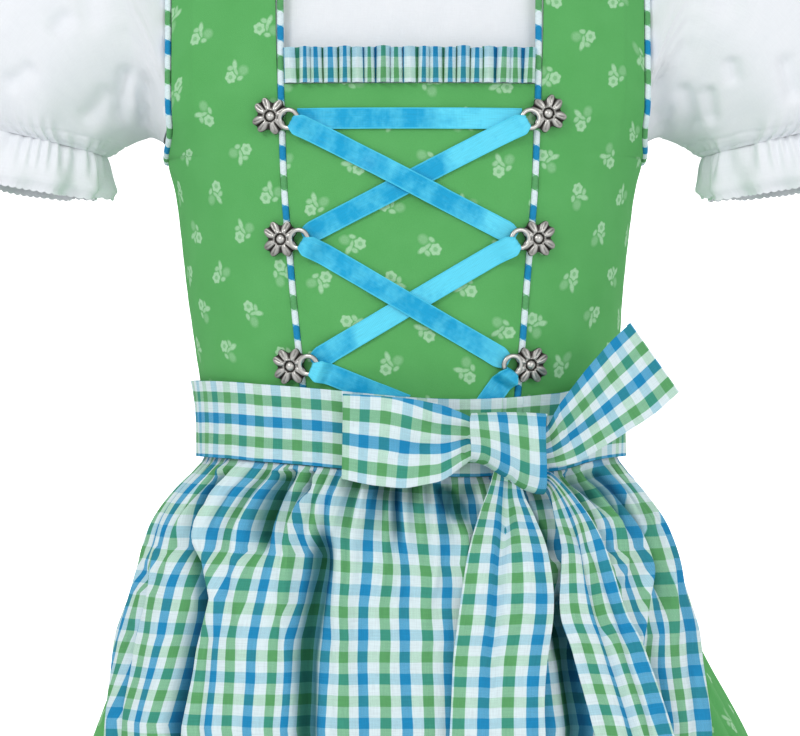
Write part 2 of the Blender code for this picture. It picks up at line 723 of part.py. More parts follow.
def band_and_ties():
    """The apron's waistband and its two ties, which cross behind and come forward over the band."""
    finish = material("check_cotton", CHECK)
    end = apron_edge(BAND_TOP - BAND_HIGH)

    def band_point(t, v, out, top_share=1.0, low_share=0.0):
        z = BAND_TOP - BAND_HIGH * (1 - mix(low_share, top_share, v))
        point = ring_point(t, z, out)
        if math.cos(math.radians(t)) > 0:
            point.z -= dip(point.x)
        return point

    def band(u, v):
        return band_point(mix(-end, end, u), v, BAND_OUT)

    cloth("apron_band", band, 32, 1, finish)

    half_split = BACK_SPLIT / BAND_HIGH

    def tie(start, stop, upper):
        """start and stop are angles of increasing or falling t; upper says which tie crosses above."""

        def surface(u, v):
            t = mix(start, stop, u)
            bunch = (1 - smooth(abs(t - 180), 12, 45)) * (0.5 + half_split)
            way = abs(t - start)
            half = abs(180 - start)
            over = smooth(way, half - 12, half + 12)
            out = mix(BAND_OUT, TIE_OUT, over) if way > 0 else BAND_OUT
            top_share, low_share = (1.0, bunch) if upper else (1 - bunch, 0.0)
            return band_point(t, v, out, top_share, low_share)

        return surface

    knot_t = math.degrees(math.atan2(KNOT["x"], 74.0))
    first = tie(end + 0.3, 360 + knot_t - 3.0, True)
    cloth("tie_left", first, 38, 1, finish)
    second = tie(360 - end - 0.3, knot_t + 3.0, False)
    cloth("tie_right", lambda u, v: second(1 - u, v), 30, 1, finish)


# ---- bow ------------------------------------------------------------------------------------------------------------------


def bow_row(table, key, at):
    for low, high in zip(table, table[1:]):
        if at <= high["at"]:
            share = (at - low["at"]) / (high["at"] - low["at"])
            share = share * share * (3 - 2 * share) * 0.4 + share * 0.6
            return Vector(low[key]).lerp(Vector(high[key]), share) if key != "puff" else mix(low[key], high[key], share)
    return Vector(table[-1][key]) if key != "puff" else table[-1][key]


def bow_depth(x):
    """The plane, a little bent, in which the bow's loops lie: distance in front of the middle."""
    return chest_depth(min(max(x, -60.0), 45.0), -306.0, TIE_OUT) + 2.6


def loop(name, table, side):
    """A loop of the tie: back layer out to the fold, then front layer back to the knot."""
    bend = 0.06  # share of the way taken by the fold

    def surface(u, v):
        if u < 0.5 - bend:
            at, front = u / (0.5 - bend), 0.0
        elif u > 0.5 + bend:
            at, front = (1 - u) / (0.5 - bend), 1.0
        else:
            at, front = 1.0, (u - (0.5 - bend)) / (2 * bend)
        top, low = bow_row(table, "top", at), bow_row(table, "low", at)
        puff = bow_row(table, "puff", at)
        edge = top.lerp(low, 1 - v)
        out = (top - low).orthogonal().normalized() * -1
        inset = 0.0
        if 0 < front < 1:
            edge = edge + out * side * -1 * 0.5 * puff * math.sin(math.pi * front) * 0.9
            depth = 0.5 * puff * (1 - math.cos(math.pi * front))
        else:
            depth = puff * front
            inset = (1 - front) * 0.10 * math.sin(math.pi * at)
        edge = edge.lerp((top + low) / 2, inset)
        crease = front * 0.8 * (1 + math.sin(math.pi * v * 5)) * (1 - smooth(at, 0.1, 0.7))
        base = mix(6.5, 0.0, smooth(at, 0.0, 0.35)) + LOOP_TILT * smooth(-edge.y, 304, 326) * smooth(at, 0.0, 0.3)
        return Vector((edge.x, -(bow_depth(edge.x) + 1.2 + base + depth + crease), edge.y))

    turn = (lambda u, v: surface(1 - u, v)) if side > 0 else surface
    cloth(name, turn, 18, 5, material("check_cotton", CHECK), even=False)


def skirt_front(x, z, out):
    """Distance in front of the middle of the skirt's form, at x and z."""
    z0 = z + dip(x) * (1 - smooth(-z - dip(x), 320, 400))
    wide, deep = read(SKIRT, "wide", z0) + out, read(SKIRT, "deep", z0) + out
    return deep * (1 - (abs(x) / wide) ** SQUARENESS) ** (1 / SQUARENESS)


def tail(name, table, fold_a, fold_b):
    clear = APRON_LIFT + APRON_FOLD_HIGH + APRON_GATHER_HIGH * 0.7
    start = bow_depth(KNOT["x"]) + KNOT["back"] + KNOT["deep"] / 2 + 0.5

    def surface(u, v):
        row = table[round((1 - v) * (len(table) - 1))]
        place = Vector(row["a"]).lerp(Vector(row["b"]), u)
        wave = fold_a * math.sin(math.pi * u) + fold_b * math.sin(3 * math.pi * u)
        near = skirt_front(place.x, place.y, clear) + row["lift"] + 1.0
        loose = smooth(-place.y, 318, 350)
        return Vector((place.x, -(mix(start, max(near, start), loose) + wave * loose), place.y))

    cloth(name, surface, 6, len(table) - 1, material("check_cotton", CHECK), even=False)


def knot():
    """The turn of the tie that wraps the bow's middle: a short tube, open to the left and the right."""
    back = bow_depth(KNOT["x"]) + KNOT["back"]

    def surface(u, v):
        x = KNOT["x"] + KNOT["wide"] * (v - 0.5)
        turn = 2 * math.pi * u
        bulge = 1 - 0.1 * (2 * v - 1) ** 2
        lean = 3.0 * (v - 0.5)
        high = KNOT["high"] / 2 * bulge
        deep = KNOT["deep"] / 2 * bulge
        across = math.copysign(abs(math.cos(turn)) ** 0.8, math.cos(turn))
        along = math.copysign(abs(math.sin(turn)) ** 0.8, math.sin(turn))
        return Vector((x, -(back + KNOT["deep"] / 2 + deep * along), KNOT["z"] - lean + high * across))

    cloth("bow_knot", surface, 16, 4, material("check_cotton", CHECK), tube=True, even=False)


def bow():
    loop("bow_loop_right", LOOP_RIGHT, -1)
    loop("bow_loop_left", LOOP_LEFT, 1)
    knot()
    tail("bow_tail_front", TAIL_FRONT, 1.5, 1.0)
    tail("bow_tail_side", TAIL_SIDE, 1.5, -1.0)


# ---- blouse ---------------------------------------------------------------------------------------------------------------


def blouse_body():
    finish = material("white_cotton", WHITE)
    for back, low, name in ((False, BLOUSE_NECK_FRONT, "front"), (True, BLOUSE_NECK_BACK, "back")):
        rows = panel_rows(BLOUSE_HEM, BLOUSE_LOW, low)
        neck = round_neck(BLOUSE_NECK_HALF, low, 0.0)
        panel(f"blouse_{name}", rows, 6, BLOUSE_OUT, neck, BLOUSE_EDGE, back, 1, finish, wall=0.9, whole=True)


def sleeve_point(a, v, out_share, side):
    """A point of the puffed sleeve: v is 0 at the armhole and 1 at the elastic."""
    top, under = bezier(SLEEVE_TOP, v), bezier(SLEEVE_UNDER, v)
    deep = bezier([(d, 0) for d in SLEEVE_DEEP], v).x
    turn = math.radians(a)
    centre = (top + under) / 2
    rim = (top - under) / 2
    reach = 1 + out_share
    place = centre + rim * math.cos(turn) * reach
    oval = Vector((place.x * side, -deep * math.sin(turn) * reach, place.y))
    seam = armhole(a % 360, BLOUSE_EDGE + SEAM + 0.2, BLOUSE_LOW + SEAM + 0.2, BLOUSE_OUT + 0.2, side)
    return seam.lerp(oval, smooth(v, 0.0, 0.22))


def sleeves():
    finish = material("white_cotton", WHITE)
    for side, name in ((-1, "right"), (1, "left")):

        def puff(u, v, side=side):
            a = 360 * (1 - u if side > 0 else u)
            way = 1 - v
            wave = math.cos(math.radians(SLEEVE_GATHERS * a)) * (0.3 + 0.7 * smooth(way, 0.45, 0.9))
            wave *= smooth(way, 0.06, 0.25) * (1 - 0.35 * smooth(way, 0.9, 1.0))
            return sleeve_point(a, way, SLEEVE_GATHER_HIGH * wave, side)

        cloth(f"sleeve_{name}", puff, 4 * SLEEVE_GATHERS, 5, finish, tube=True, even=False)

        def frill(u, v, side=side):
            a = 360 * (1 - u if side > 0 else u)
            way = 1 - v
            edge = sleeve_point(a, 1.0, SLEEVE_GATHER_HIGH * 0.65 * math.cos(math.radians(SLEEVE_GATHERS * a)), side)
            middle = sleeve_point(0, 1.0, 0, side).lerp(sleeve_point(180, 1.0, 0, side), 0.5)
            rim = sleeve_point(0, 1.0, 0, side) - sleeve_point(180, 1.0, 0, side)
            down = Vector((rim.z, 0, -rim.x)).normalized() * (1 if rim.x > 0 else -1)
            flat = (edge - middle).normalized()
            wave = CUFF_WAVE_HIGH * math.cos(math.radians(CUFF_WAVES * a)) * way
            return edge + down * (SEAM + CUFF_FRILL * way) + flat * (CUFF_FLARE * way**0.7 + wave)

        cloth(f"sleeve_frill_{name}", frill, 4 * CUFF_WAVES, 1, finish, tube=True, even=False)


def neck_binding():
    sit = BLOUSE_OUT - 0.45
    gap = SEAM + NECK_BINDING_R
    edges = []
    for behind, low in ((False, BLOUSE_NECK_FRONT), (True, BLOUSE_NECK_BACK)):
        rows, neck = panel_rows(BLOUSE_HEM, BLOUSE_LOW, low), round_neck(BLOUSE_NECK_HALF, low, 0.0)
        edges.append(neck_line(rows, neck, BLOUSE_OUT, sit, behind, gap))
    front, back = edges
    half = front + [over_shoulder(BLOUSE_NECK_HALF - gap, 90.0, sit)] + back[::-1]
    line = half + [Vector((-p.x, p.y, p.z)) for p in half[-2:0:-1]]
    made = cord("blouse_neck_binding", line, NECK_BINDING_R, material("white_cotton", WHITE))
    made.data.splines[0].use_cyclic_u = True


def main():
    clear_scene()
    collection = bpy.data.collections.new("dirndl")
    bpy.context.scene.collection.children.link(collection)
    bodice()
    neck_frill()
    piping()
    hooks()
    lacing()
    skirt()
    apron()
    band_and_ties()
    bow()
    blouse_body()
    sleeves()
    neck_binding()


main()
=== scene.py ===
"""The looks of a child's laced dirndl set: flowered green cotton, woven check apron and bow, white puff-sleeved
blouse, satin lacing and cast hooks, built as thin cloth on the frame's solids.

Sizes are written in millimetres and scaled once, where a mesh is made. +Z is up, the front faces -Y, and +X is
the wearer's left. Angle t goes round the body from the centre front (0), by the wearer's left (90), to the back.
"""

import math

import bpy
import numpy as np
from mathutils import Matrix, Vector


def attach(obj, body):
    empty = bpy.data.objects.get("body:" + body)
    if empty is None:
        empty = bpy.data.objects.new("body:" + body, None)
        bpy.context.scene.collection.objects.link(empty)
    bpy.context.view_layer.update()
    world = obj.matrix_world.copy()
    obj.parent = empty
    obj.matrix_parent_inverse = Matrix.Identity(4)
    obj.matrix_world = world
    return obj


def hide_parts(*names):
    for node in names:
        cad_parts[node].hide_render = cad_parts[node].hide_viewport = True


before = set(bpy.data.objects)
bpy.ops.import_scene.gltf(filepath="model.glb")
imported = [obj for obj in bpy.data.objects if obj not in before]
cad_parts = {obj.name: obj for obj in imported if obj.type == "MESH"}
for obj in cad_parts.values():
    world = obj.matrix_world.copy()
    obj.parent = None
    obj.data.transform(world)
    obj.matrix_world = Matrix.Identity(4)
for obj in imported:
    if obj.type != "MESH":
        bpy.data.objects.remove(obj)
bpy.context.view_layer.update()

MM = 0.001
SIDES = (-1, "right"), (1, "left")  # the wearer's, and which way x goes there

# ---- the general figure that fills the set ----
SQUARENESS = 2.5  # exponent of the torso's superellipse
BACK_DEPTH = 0.95  # the back is this much flatter than the front
TORSO = [  # height, half the width, half the depth
    dict(z=-330, wide=93.4, deep=76.0),
    dict(z=-290, wide=93.4, deep=76.0),
    dict(z=-274, wide=94.6, deep=76.8),
    dict(z=-264, wide=97.2, deep=78.0),
    dict(z=-235, wide=99.2, deep=78.6),
    dict(z=-207, wide=102.4, deep=79.2),
    dict(z=-186, wide=105.0, deep=79.4),
    dict(z=-168, wide=109.5, deep=78.6),
    dict(z=-145, wide=122.0, deep=77.0),
]
CHEST_TOP = -145.0  # above this height the surface bends back over the shoulder
NECK_HALF = 60.0  # where the shoulder starts to fall
SHOULDER_FALL = 0.40
LEAN = [  # how far the worn set stands out of the middle: the chest to the right arm, the hem to the left
    dict(z=-620, x=7.0),
    dict(z=-440, x=4.0),
    dict(z=-395, x=0.0),
    dict(z=-285, x=0.0),
    dict(z=-235, x=-2.8),
    dict(z=0, x=-2.8),
]
TURNED = 0.75  # the chest also turns, so this share of the lean is lost at its front

# ---- cloth layers, as distances from the figure to the cloth's outer face ----
WALL = 1.0
BLOUSE_OUT = -0.6
BODICE_OUT = 2.4
BAND_OUT = 5.2
TIE_OUT = 6.6
SEAM = 0.3  # between two pieces that are sewn together
SIDE_ROWS = [-268, -240, -207, -186, -172, -168.4]  # heights of the panels' net lines below the armhole
STRAP_TURNS = [15, 30, 45, 60, 75, 89.4]  # and over the shoulder, which is at 90
FAN_COLUMNS = 3  # net lines that spread below the armhole

# ---- bodice ----
WAIST_SEAM = -296.0
FRONT_TOP = -138.4  # top edge of the centre front panel
FRILL_TOP = -122.0
ARMHOLE_LOW = -172.0
STRAP_OUTER = 108.5
BACK_NECK_LOW = -78.0
PIPING_R = 1.3
PRINCESS = [  # the piped seam beside the centre front: height and distance from the middle
    dict(z=-300, x=46.8),
    dict(z=-277, x=48.5),
    dict(z=-252, x=51.2),
    dict(z=-217, x=54.1),
    dict(z=-186, x=56.8),
    dict(z=-139, x=58.3),
    dict(z=-110, x=59.2),
    dict(z=0, x=60.0),
]

# ---- hooks and lacing ----
HOOKS = [  # ring centres of the three pairs, and each flower's tilt on the wearer's right and left
    dict(row="top", x=54.3, z=-154.5, tilt=(-9, 17)),
    dict(row="middle", x=49.4, z=-208.7, tilt=(0, 2)),
    dict(row="low", x=45.6, z=-265.5, tilt=(4, 0)),
]
HOOK_REACH = 8.9  # from the ring's centre to the flower's centre
FLOWER_R, FLOWER_WAIST = 8.8, 0.66  # the flower's reach at its petals, and the share of it between them
PETAL_AT, PETAL_WIDE = 28, 16.5  # angles: a petal from the nearest quarter, and its half width
BUTTON_R = 1.9  # the raised middle
FLOWER_STEPS = 26
RING_R = 5.1
RING_HOLE_R = 3.1
HOOK_THICK = 1.8
HOOK_LIFT = 4.2  # the hook's underside, measured from the figure
LACE_END_RIGHT = (-2.0, -283.5)  # where the ribbon's ends go under the band
LACE_END_LEFT = (30.0, -288.0)
BAR_INSET = 4.2  # the ribbon between the top rings ends this far inside their centres
LACE_WIDE = 9.6
LACE_THICK = 0.8

# ---- apron and skirt ----
BAND_TOP = -273.0
BAND_HIGH = 35.0
BAND_DIP = 8.0  # the knot pulls the band down by this much
DIP_AT_X = 23.5
DIP_REACH = 70.0
SKIRT_HEM = -620.0
APRON_HEM = -590.0
SKIRT = [  # the skirt's mean form
    dict(z=-296, wide=95.4, deep=78.0),
    dict(z=-311, wide=96.0, deep=78.6),
    dict(z=-319, wide=102.0, deep=84.0),
    dict(z=-336, wide=110.3, deep=93.5),
    dict(z=-371, wide=121.5, deep=104.5),
    dict(z=-407, wide=135.5, deep=116.5),
    dict(z=-440, wide=151.0, deep=129.0),
    dict(z=-520, wide=179.0, deep=153.0),
    dict(z=-620, wide=207.0, deep=177.0),
]
APRON_LIFT = 5.6  # the apron's valleys lie this far outside the skirt's mean form
APRON_LIFT_TOP = 2.3
SKIRT_GATHERS = 18  # round the part that the apron leaves free
SKIRT_FREE = 58.0  # from this angle back
SKIRT_FOLD_HIGH = 8.0
SKIRT_GATHER_HIGH = 4.0
APRON_LIFT_EDGE = 3.2
UNDER_APRON = 4.5  # the skirt is pressed in by this much under the apron

# ---- bow ----
BACK_SPLIT = 1.0  # half the space between the ties where they cross, each bunched to half its width
KNOT = dict(x=43.5, z=-305.0, wide=34.0, high=37.0, deep=19.0, back=0.15)
LOOP_TILT = 8.5  # the loops lean forward over the gathers below the band
LOOP_RIGHT = [  # seen from the front: top and bottom edge from the knot to the fold, and how far it puffs out
    dict(at=0.00, top=(35.0, -293.5), low=(35.0, -304.0), puff=4.0),
    dict(at=0.14, top=(25.5, -288.2), low=(25.5, -308.6), puff=4.6),
    dict(at=0.30, top=(15.0, -283.8), low=(15.0, -317.2), puff=9.0),
    dict(at=0.55, top=(1.0, -280.8), low=(-3.0, -320.6), puff=12.0),
    dict(at=0.80, top=(-17.0, -279.2), low=(-19.0, -319.0), puff=9.0),
    dict(at=1.00, top=(-31.0, -278.6), low=(-31.5, -316.4), puff=4.0),
]
LOOP_LEFT = [
    dict(at=0.00, top=(52.0, -299.0), low=(53.0, -311.0), puff=3.0),
    dict(at=0.14, top=(61.0, -294.0), low=(64.0, -311.5), puff=5.0),
    dict(at=0.30, top=(66.0, -283.5), low=(74.5, -309.5), puff=8.0),
    dict(at=0.55, top=(76.5, -270.5), low=(91.5, -299.0), puff=11.0),
    dict(at=0.80, top=(89.5, -255.5), low=(109.0, -288.0), puff=9.0),
    dict(at=1.00, top=(99.5, -246.5), low=(121.0, -277.5), puff=4.0),
]
TAIL_FRONT = [  # the two edges of the hanging ends, row by row, and how far they hang in front of the folds
    dict(a=(37.0, -313.5), b=(49.0, -315.5), lift=1.0),
    dict(a=(34.5, -322.0), b=(51.0, -324.4), lift=1.0),
    dict(a=(30.5, -332.0), b=(55.5, -334.0), lift=1.0),
    dict(a=(25.0, -350.0), b=(61.0, -350.0), lift=2.0),
    dict(a=(21.0, -375.0), b=(63.0, -375.0), lift=2.5),
    dict(a=(16.0, -412.0), b=(57.0, -412.0), lift=2.5),
    dict(a=(12.5, -440.0), b=(55.0, -440.0), lift=2.5),
    dict(a=(9.0, -498.0), b=(50.0, -500.0), lift=2.5),
]
TAIL_SIDE = [
    dict(a=(56.0, -320.4), b=(56.5, -314.0), lift=1.0),
    dict(a=(61.6, -321.6), b=(63.5, -314.4), lift=1.0),
    dict(a=(64.0, -332.0), b=(77.0, -329.0), lift=1.0),
    dict(a=(67.0, -348.0), b=(86.5, -346.0), lift=2.0),
    dict(a=(66.0, -375.0), b=(96.0, -375.0), lift=2.5),
    dict(a=(71.5, -395.0), b=(105.0, -395.0), lift=2.5),
    dict(a=(79.0, -440.0), b=(115.0, -440.0), lift=2.5),
    dict(a=(82.0, -490.0), b=(118.0, -487.0), lift=2.5),
]

# ---- blouse ----
BLOUSE_HEM = -252.0
BLOUSE_EDGE = 112.6
BLOUSE_LOW = -158.5
BLOUSE_NECK_HALF = 50.0
BLOUSE_NECK_FRONT = -66.0
BLOUSE_NECK_BACK = -34.0
NECK_BINDING_R, NECK_BINDING_SUNK = 1.6, 0.45
SLEEVE_TOP = [(116, -20), (150, -2), (212, -18), (250, -88), (253, -134), (215, -151)]
SLEEVE_UNDER = [(117, -157), (124, -159), (132, -163), (142, -167.5)]
SLEEVE_DEEP = [44, 54, 60, 54, 34]
SLEEVE_GATHERS = 10
SLEEVE_GATHER_HIGH = 0.055
CUFF_FRILL = 22.0
CUFF_FLARE = 8.0
CUFF_WAVES = 12
CUFF_WAVE_HIGH = 2.6

# ---- the looks' own sizes, in millimetres ----
SHARP = 50.0  # edges that turn by more degrees than this stay sharp
CLOTH_THICK, RIBBON_THICK = 0.5, 0.35
PIPING_SHOWN, PIPING_PROUD = 1.5, 0.6  # radius of the covered cord, and how far it stands out of its seam
FRONT_LAY, BACK_LAY = 71, -137  # where the side panels and the back halves lie across the flowered cloth
FRILL_PLEATS = [1.1, 0.9, 1.0, 1.15, 0.95, 1.0, 0.85, 1.1, 1.0, 1.05, 0.9, 1.1, 0.95, 1.05, 1.0, 0.9, 1.1, 1.0, 0.95]
FRILL_PITCH = 6.2  # a pleat's width
FRILL_HIGH = 6.1  # how far the pleats stand out
FRILL_SHOWN = "WBBBBWGGGWBBBBBWGGG"  # which stripe each pleat shows: white, blue or green
FRILL_STEPS = 18  # net lines to a pleat
FRILL_RISE = 12.6  # where the frill's seam lies along the check
APRON_CLOTH = 340.0  # the scale on which places across the apron are given
APRON_SIDES = [  # angles of the apron's two side edges as it hangs
    dict(z=-309, right=86.0, left=86.0),
    dict(z=-340, right=86.0, left=86.0),
    dict(z=-354, right=84.5, left=84.5),
    dict(z=-370, right=80.0, left=77.0),
    dict(z=-400, right=70.5, left=66.0),
    dict(z=-440, right=61.5, left=55.0),
    dict(z=-520, right=57.0, left=51.0),
    dict(z=-590, right=54.0, left=49.0),
]
BAND_END = 99.0  # angle at which the band's ends pass into the ties
APRON_CUT = [  # places across the flat cloth, from its right edge, and where each lies at some levels, of 340 in all
    -34, -12, 7.2, 16.8, 26.4, 36, 45.6, 55.2, 64.8, 74.4, 84, 93.6, 103.2, 112.8, 122.4, 132, 141.6, 151.2, 160.8,
    170.4, 180, 189.6, 237.6, 247.2, 256.8, 304.8, 314.4, 324, 333.6, 340, 356,
]
APRON_LAID = {
    -318: [
        5.1, 27.1, 41.1, 49.2, 53.8, 57, 81.3, 84.6, 93.5, 96.7, 99.9, 108.6, 111.8, 118.7, 126.7, 138.1, 149.3,
        155.3, 161.9, 173.4, 186.6, 197.4, 233.4, 240, 246.3, 268.4, 290.1, 309.9, 340, 343.2, 356,
    ],
    -348: [
        6.9, 28.9, 42.9, 55.6, 62.3, 65.5, 80.3, 85.3, 96.2, 99.4, 106.8, 117, 122.2, 126.9, 130.1, 140.9, 150.1,
        160, 166.6, 175.9, 185.6, 193.8, 224, 232.5, 236.8, 265.3, 278.2, 296.1, 323.8, 340, 356,
    ],
    -370: [
        -5.4, 16.6, 30.6, 44.6, 57.4, 65.4, 71.2, 74.4, 86, 95.8, 104.3, 116.1, 120.6, 123.8, 133, 142.7, 150.7,
        160.8, 169.6, 179.8, 189.6, 198.8, 229.9, 238.9, 248.3, 283.7, 293.8, 303.8, 324.2, 340, 356,
    ],
    -387: [
        -6.4, 15.6, 29.6, 43.6, 53.4, 59.6, 64.5, 79.1, 82.9, 89, 100.9, 110.4, 116.8, 120, 134, 143.5, 151,
        162.4, 171, 182.6, 192.7, 201.8, 235.9, 249.4, 256, 295.2, 299.4, 304.5, 325.8, 332.1, 356,
    ],
    -426: [
        -25.8, -3.8, 10.2, 24.2, 35.1, 43.7, 50, 69.6, 73.5, 82.7, 94.8, 104.4, 111.2, 116, 128.2, 141.9, 150.8,
        161.9, 172.8, 184.2, 194.8, 204.4, 243.2, 258, 266.2, 302.7, 306.1, 312.3, 329, 340, 356,
    ],
    -590: [
        -22, 0, 18, 27.5, 37, 46, 56, 65, 74, 83.5, 93, 102, 111, 121, 130, 139, 148, 158, 167, 176, 185.5, 195, 241,
        250, 260, 306, 315, 324.5, 334, 340, 356,
    ],
}
APRON_DROP, APRON_EASE = 16.1, 0.954  # where its seam lies along the check, and how much of the length the folds take
APRON_BODY = 7.4  # the gathered cloth stands out by this much more
APRON_LOW, APRON_HIGH = -1.0, 17.5  # least and most that it may stand out
APRON_SIDE_REACH = dict(  # how far the apron may stand out at the wearer's right and left side, below its seam
    right=[(0, 3.5), (8, 8.0), (20, 10.6), (40, 12.2), (58, 13.5), (80, 17.5)],
    left=[(0, 3.5), (8, 5.0), (20, 7.2), (40, 10.2), (58, 12.5), (80, 17.5)],
)
APRON_SIDE_TURNS = 46, 72  # from the first angle to the second it comes under that reach
APRON_GATHERING = dict(count=40, high=4.6, long=70, seed=0)
SKIRT_GATHERING = dict(count=74, high=1.8, long=62, seed=2)
SKIRT_CLOTH = 1220.0  # width of the skirt's cloth
BAND_DROP = 9.6  # where the band's top edge lies across the check, and where each tie starts along it
TIE_START = dict(left=5.0, right=11.0)
LOOP_A_START, LOOP_B_START = 0.0, 3.0  # where each loop starts along the tie's cloth
LOOP_TOP, LOOP_LOW = (9.0, 5.0), 41.9  # the loops' edges on the tie's cloth: at the fold and at the knot, and below
TAIL_CLEAR = 15.9  # the hanging ends lie this far outside the skirt's mean form
TAIL_CLOTH = 38.4  # a hanging end's width
TAIL_FRONT_CUT = [(0.0, 13.6), (1.0, 50.6)]  # share of the way across a hanging end, and its place on the cloth
TAIL_SIDE_CUT = [(0.0, 9.6), (0.22, 16.8), (0.49, 26.4), (0.66, 36.0), (0.87, 45.6), (1.0, 48.5)]
KNOT_START, KNOT_BOWED = 12.0, 2.4  # where the knot lies across the check, and how far the stripes bow there
KNOT_TOP, KNOT_LOW = -286.8, (-309.5, -324.5)
SLEEVE_CLOTH = 300.0  # width of a sleeve's cloth
SLEEVE_CREASING = 1.5  # the sleeves' creases are deeper than their table says by this much
CAP_GATHERS, CAP_SHARE = 26, 0.030  # gathers where it is set in, and their height as a share of its reach
CUFF_GATHERS, CUFF_SHARE, CUFF_GATHER_HIGH = 37, 0.055, 2.0  # and above and below the elastic
SLEEVE_LAP = 3.4  # the sleeve's seam lies this far inside the edge of the blouse's armhole
CASING_LOW, CASING_HIGH, CASING_DEEP = 3.0, 10.0, 0.5  # the elastic's two seams above the sleeve's end
CUFF_CLOTH = 210.0  # width of a ruffle's cloth
CUFF_ROLL, CUFF_CURL, CUFF_SWAY = 1.6, 3.6, 1.9  # how far its edge rolls, turns in, and rises and falls
CUFF_OUTER = 6.0  # the ruffle is this much deeper on the outer side
PICOT, PICOT_COUNT = 0.7, 80  # height and number of the small scallops on its edge
LACE_CURL = 0.12  # the ribbon's edges rise by this much
LACE_PINCHED = 2.7  # half its width in a ring
LACE_SPACE = 200.0  # the lay's length for one run of the ribbon, over which its painted sheen repeats
HOOK_THREADS = (0, 90, 180, 270)  # turns of the threads that hold a hook, their radius, and how far out each starts
HOOK_THREAD_R, HOOK_THREAD_AT = 0.28, 4.4

# ---- creases: the line of points that each follows, its height, the widths of its left and right flank, and the
# shares of its two ends that fade
FRONT_PANEL_CREASES = [
    ([(31, -263), (38, -256), (46, -249)], -1.4, 2.2, 3.2),
    ([(-46, -262), (-40, -256), (-30, -252)], -1.0, 3, 2.5),
    ([(-30, -196), (-4, -190), (22, -197)], -0.5, 4, 5),
    ([(6, -240), (30, -236)], -0.6, 3, 4),
    ([(-38, -262), (-12, -268)], 0.6, 4, 3),
]
SIDE_PANEL_CREASES = [
    ([(97, -215), (80, -222), (66, -219)], -0.9, 4, 5),
    ([(95, -240), (78, -246)], -0.8, 3.5, 4.5),
    ([(88, -262), (66, -257)], 0.7, 4, 3),
]
BACK_PANEL_CREASES = [
    ([(90, -205), (62, -214), (30, -211)], -0.8, 4, 5),
    ([(82, -238), (50, -246)], -0.9, 3.5, 4.5),
    ([(60, -262), (24, -256)], 0.7, 4, 3),
]
APRON_FOLDS = [
    ([(11, -352), (31, -368), (28, -382), (17, -418), (12, -480), (10, -600)], -4.5, 4, 4, (0.1, 0.1)),
    ([(40, -330), (52, -366), (46, -400), (38, -440), (34, -600)], 2.0, 8, 8, (0.2, 0)),
    (
        [(57, -312), (59, -322), (68, -350), (74, -370), (66, -391), (54, -426), (49, -470), (45, -600)],
        -10.5, 6.5, 3.4, (0.02, 0),
    ),
    ([(66, -318), (76, -350), (82, -370), (76, -392), (64, -428), (57, -600)], 2.2, 3, 7, (0.1, 0)),
    ([(97, -311), (98, -320), (101.5, -346), (97.5, -358)], -11.1, 5, 3.4, (0.02, 0.5)),
    ([(86, -400), (84, -440), (80, -600)], -3.5, 8, 6, (0.4, 0)),
    ([(112, -330), (114, -350), (109, -372), (103, -400), (98, -428), (93, -600)], 2.6, 7, 3.0, (0.2, 0)),
    ([(110, -311), (116, -325)], -7.8, 3, 3, (0.02, 0.5)),
    (
        [(124, -320), (127, -336), (127, -346), (125.5, -370), (121, -398), (119, -426), (116, -470), (112, -600)],
        -12.5, 5.0, 7.5, (0.12, 0),
    ),
    ([(129, -316), (136, -350), (140, -386), (139, -426), (134, -600)], 2.4, 3.0, 9, (0.1, 0)),
    ([(159, -309), (162, -328), (165.5, -344), (169, -358)], -7.8, 4.5, 4.0, (0.02, 0.6)),
    ([(168, -396), (168, -440), (164, -600)], -3.0, 10, 9, (0.4, 0)),
    ([(190, -306), (194, -318), (199, -334)], -12.0, 7, 6, (0.02, 0.4)),
    ([(224, -309), (229, -326), (234, -352)], -12.0, 7, 7, (0.02, 0.3)),
    ([(205, -316), (212, -360), (216, -440), (218, -600)], -5.5, 7, 6, (0.1, 0)),
    ([(238, -352), (247, -378), (256, -396), (262, -426), (266, -600)], -11.7, 9, 6, (0.1, 0)),
    ([(264, -309), (266, -324), (267, -336)], -8.5, 3.5, 3.5, (0.02, 0.5)),
    ([(276, -309), (277.5, -324), (279, -350)], -8.5, 3.5, 3.5, (0.02, 0.5)),
    ([(286, -309), (289, -334), (292, -352), (301.5, -370), (304, -384)], -9.8, 4.5, 3.5, (0.05, 0.35)),
    ([(282, -350), (292, -376), (298, -404), (302, -440), (304, -600)], -7.8, 6, 4, (0.3, 0)),
    ([(312, -312), (316, -336), (320, -360), (324, -400), (326, -600)], -3.0, 5, 4, (0.05, 0.1)),
]
SKIRT_CREASES = [
    ([(150, -330), (152, -420), (149, -520), (153, -640)], -3.5, 6, 3, (0.3, 0)),
    ([(196, -320), (199, -380), (203, -470)], -3.0, 5, 3, (0.1, 0.4)),
    ([(248, -330), (244, -430), (247, -640)], 3.0, 8, 5, (0.3, 0)),
    ([(300, -318), (304, -400), (301, -500)], -3.5, 4, 6, (0.1, 0.4)),
    ([(352, -330), (349, -440), (354, -640)], -4.0, 7, 3, (0.2, 0)),
    ([(409, -322), (413, -370), (411, -440)], -3.0, 4, 5, (0.1, 0.5)),
    ([(455, -340), (460, -460), (456, -640)], 2.8, 6, 9, (0.3, 0)),
    ([(512, -320), (508, -410), (511, -520)], -3.5, 3, 6, (0.1, 0.4)),
    ([(566, -330), (570, -440), (565, -640)], -3.8, 6, 4, (0.2, 0)),
    ([(622, -325), (618, -400), (621, -470)], -2.6, 4, 4, (0.1, 0.4)),
]
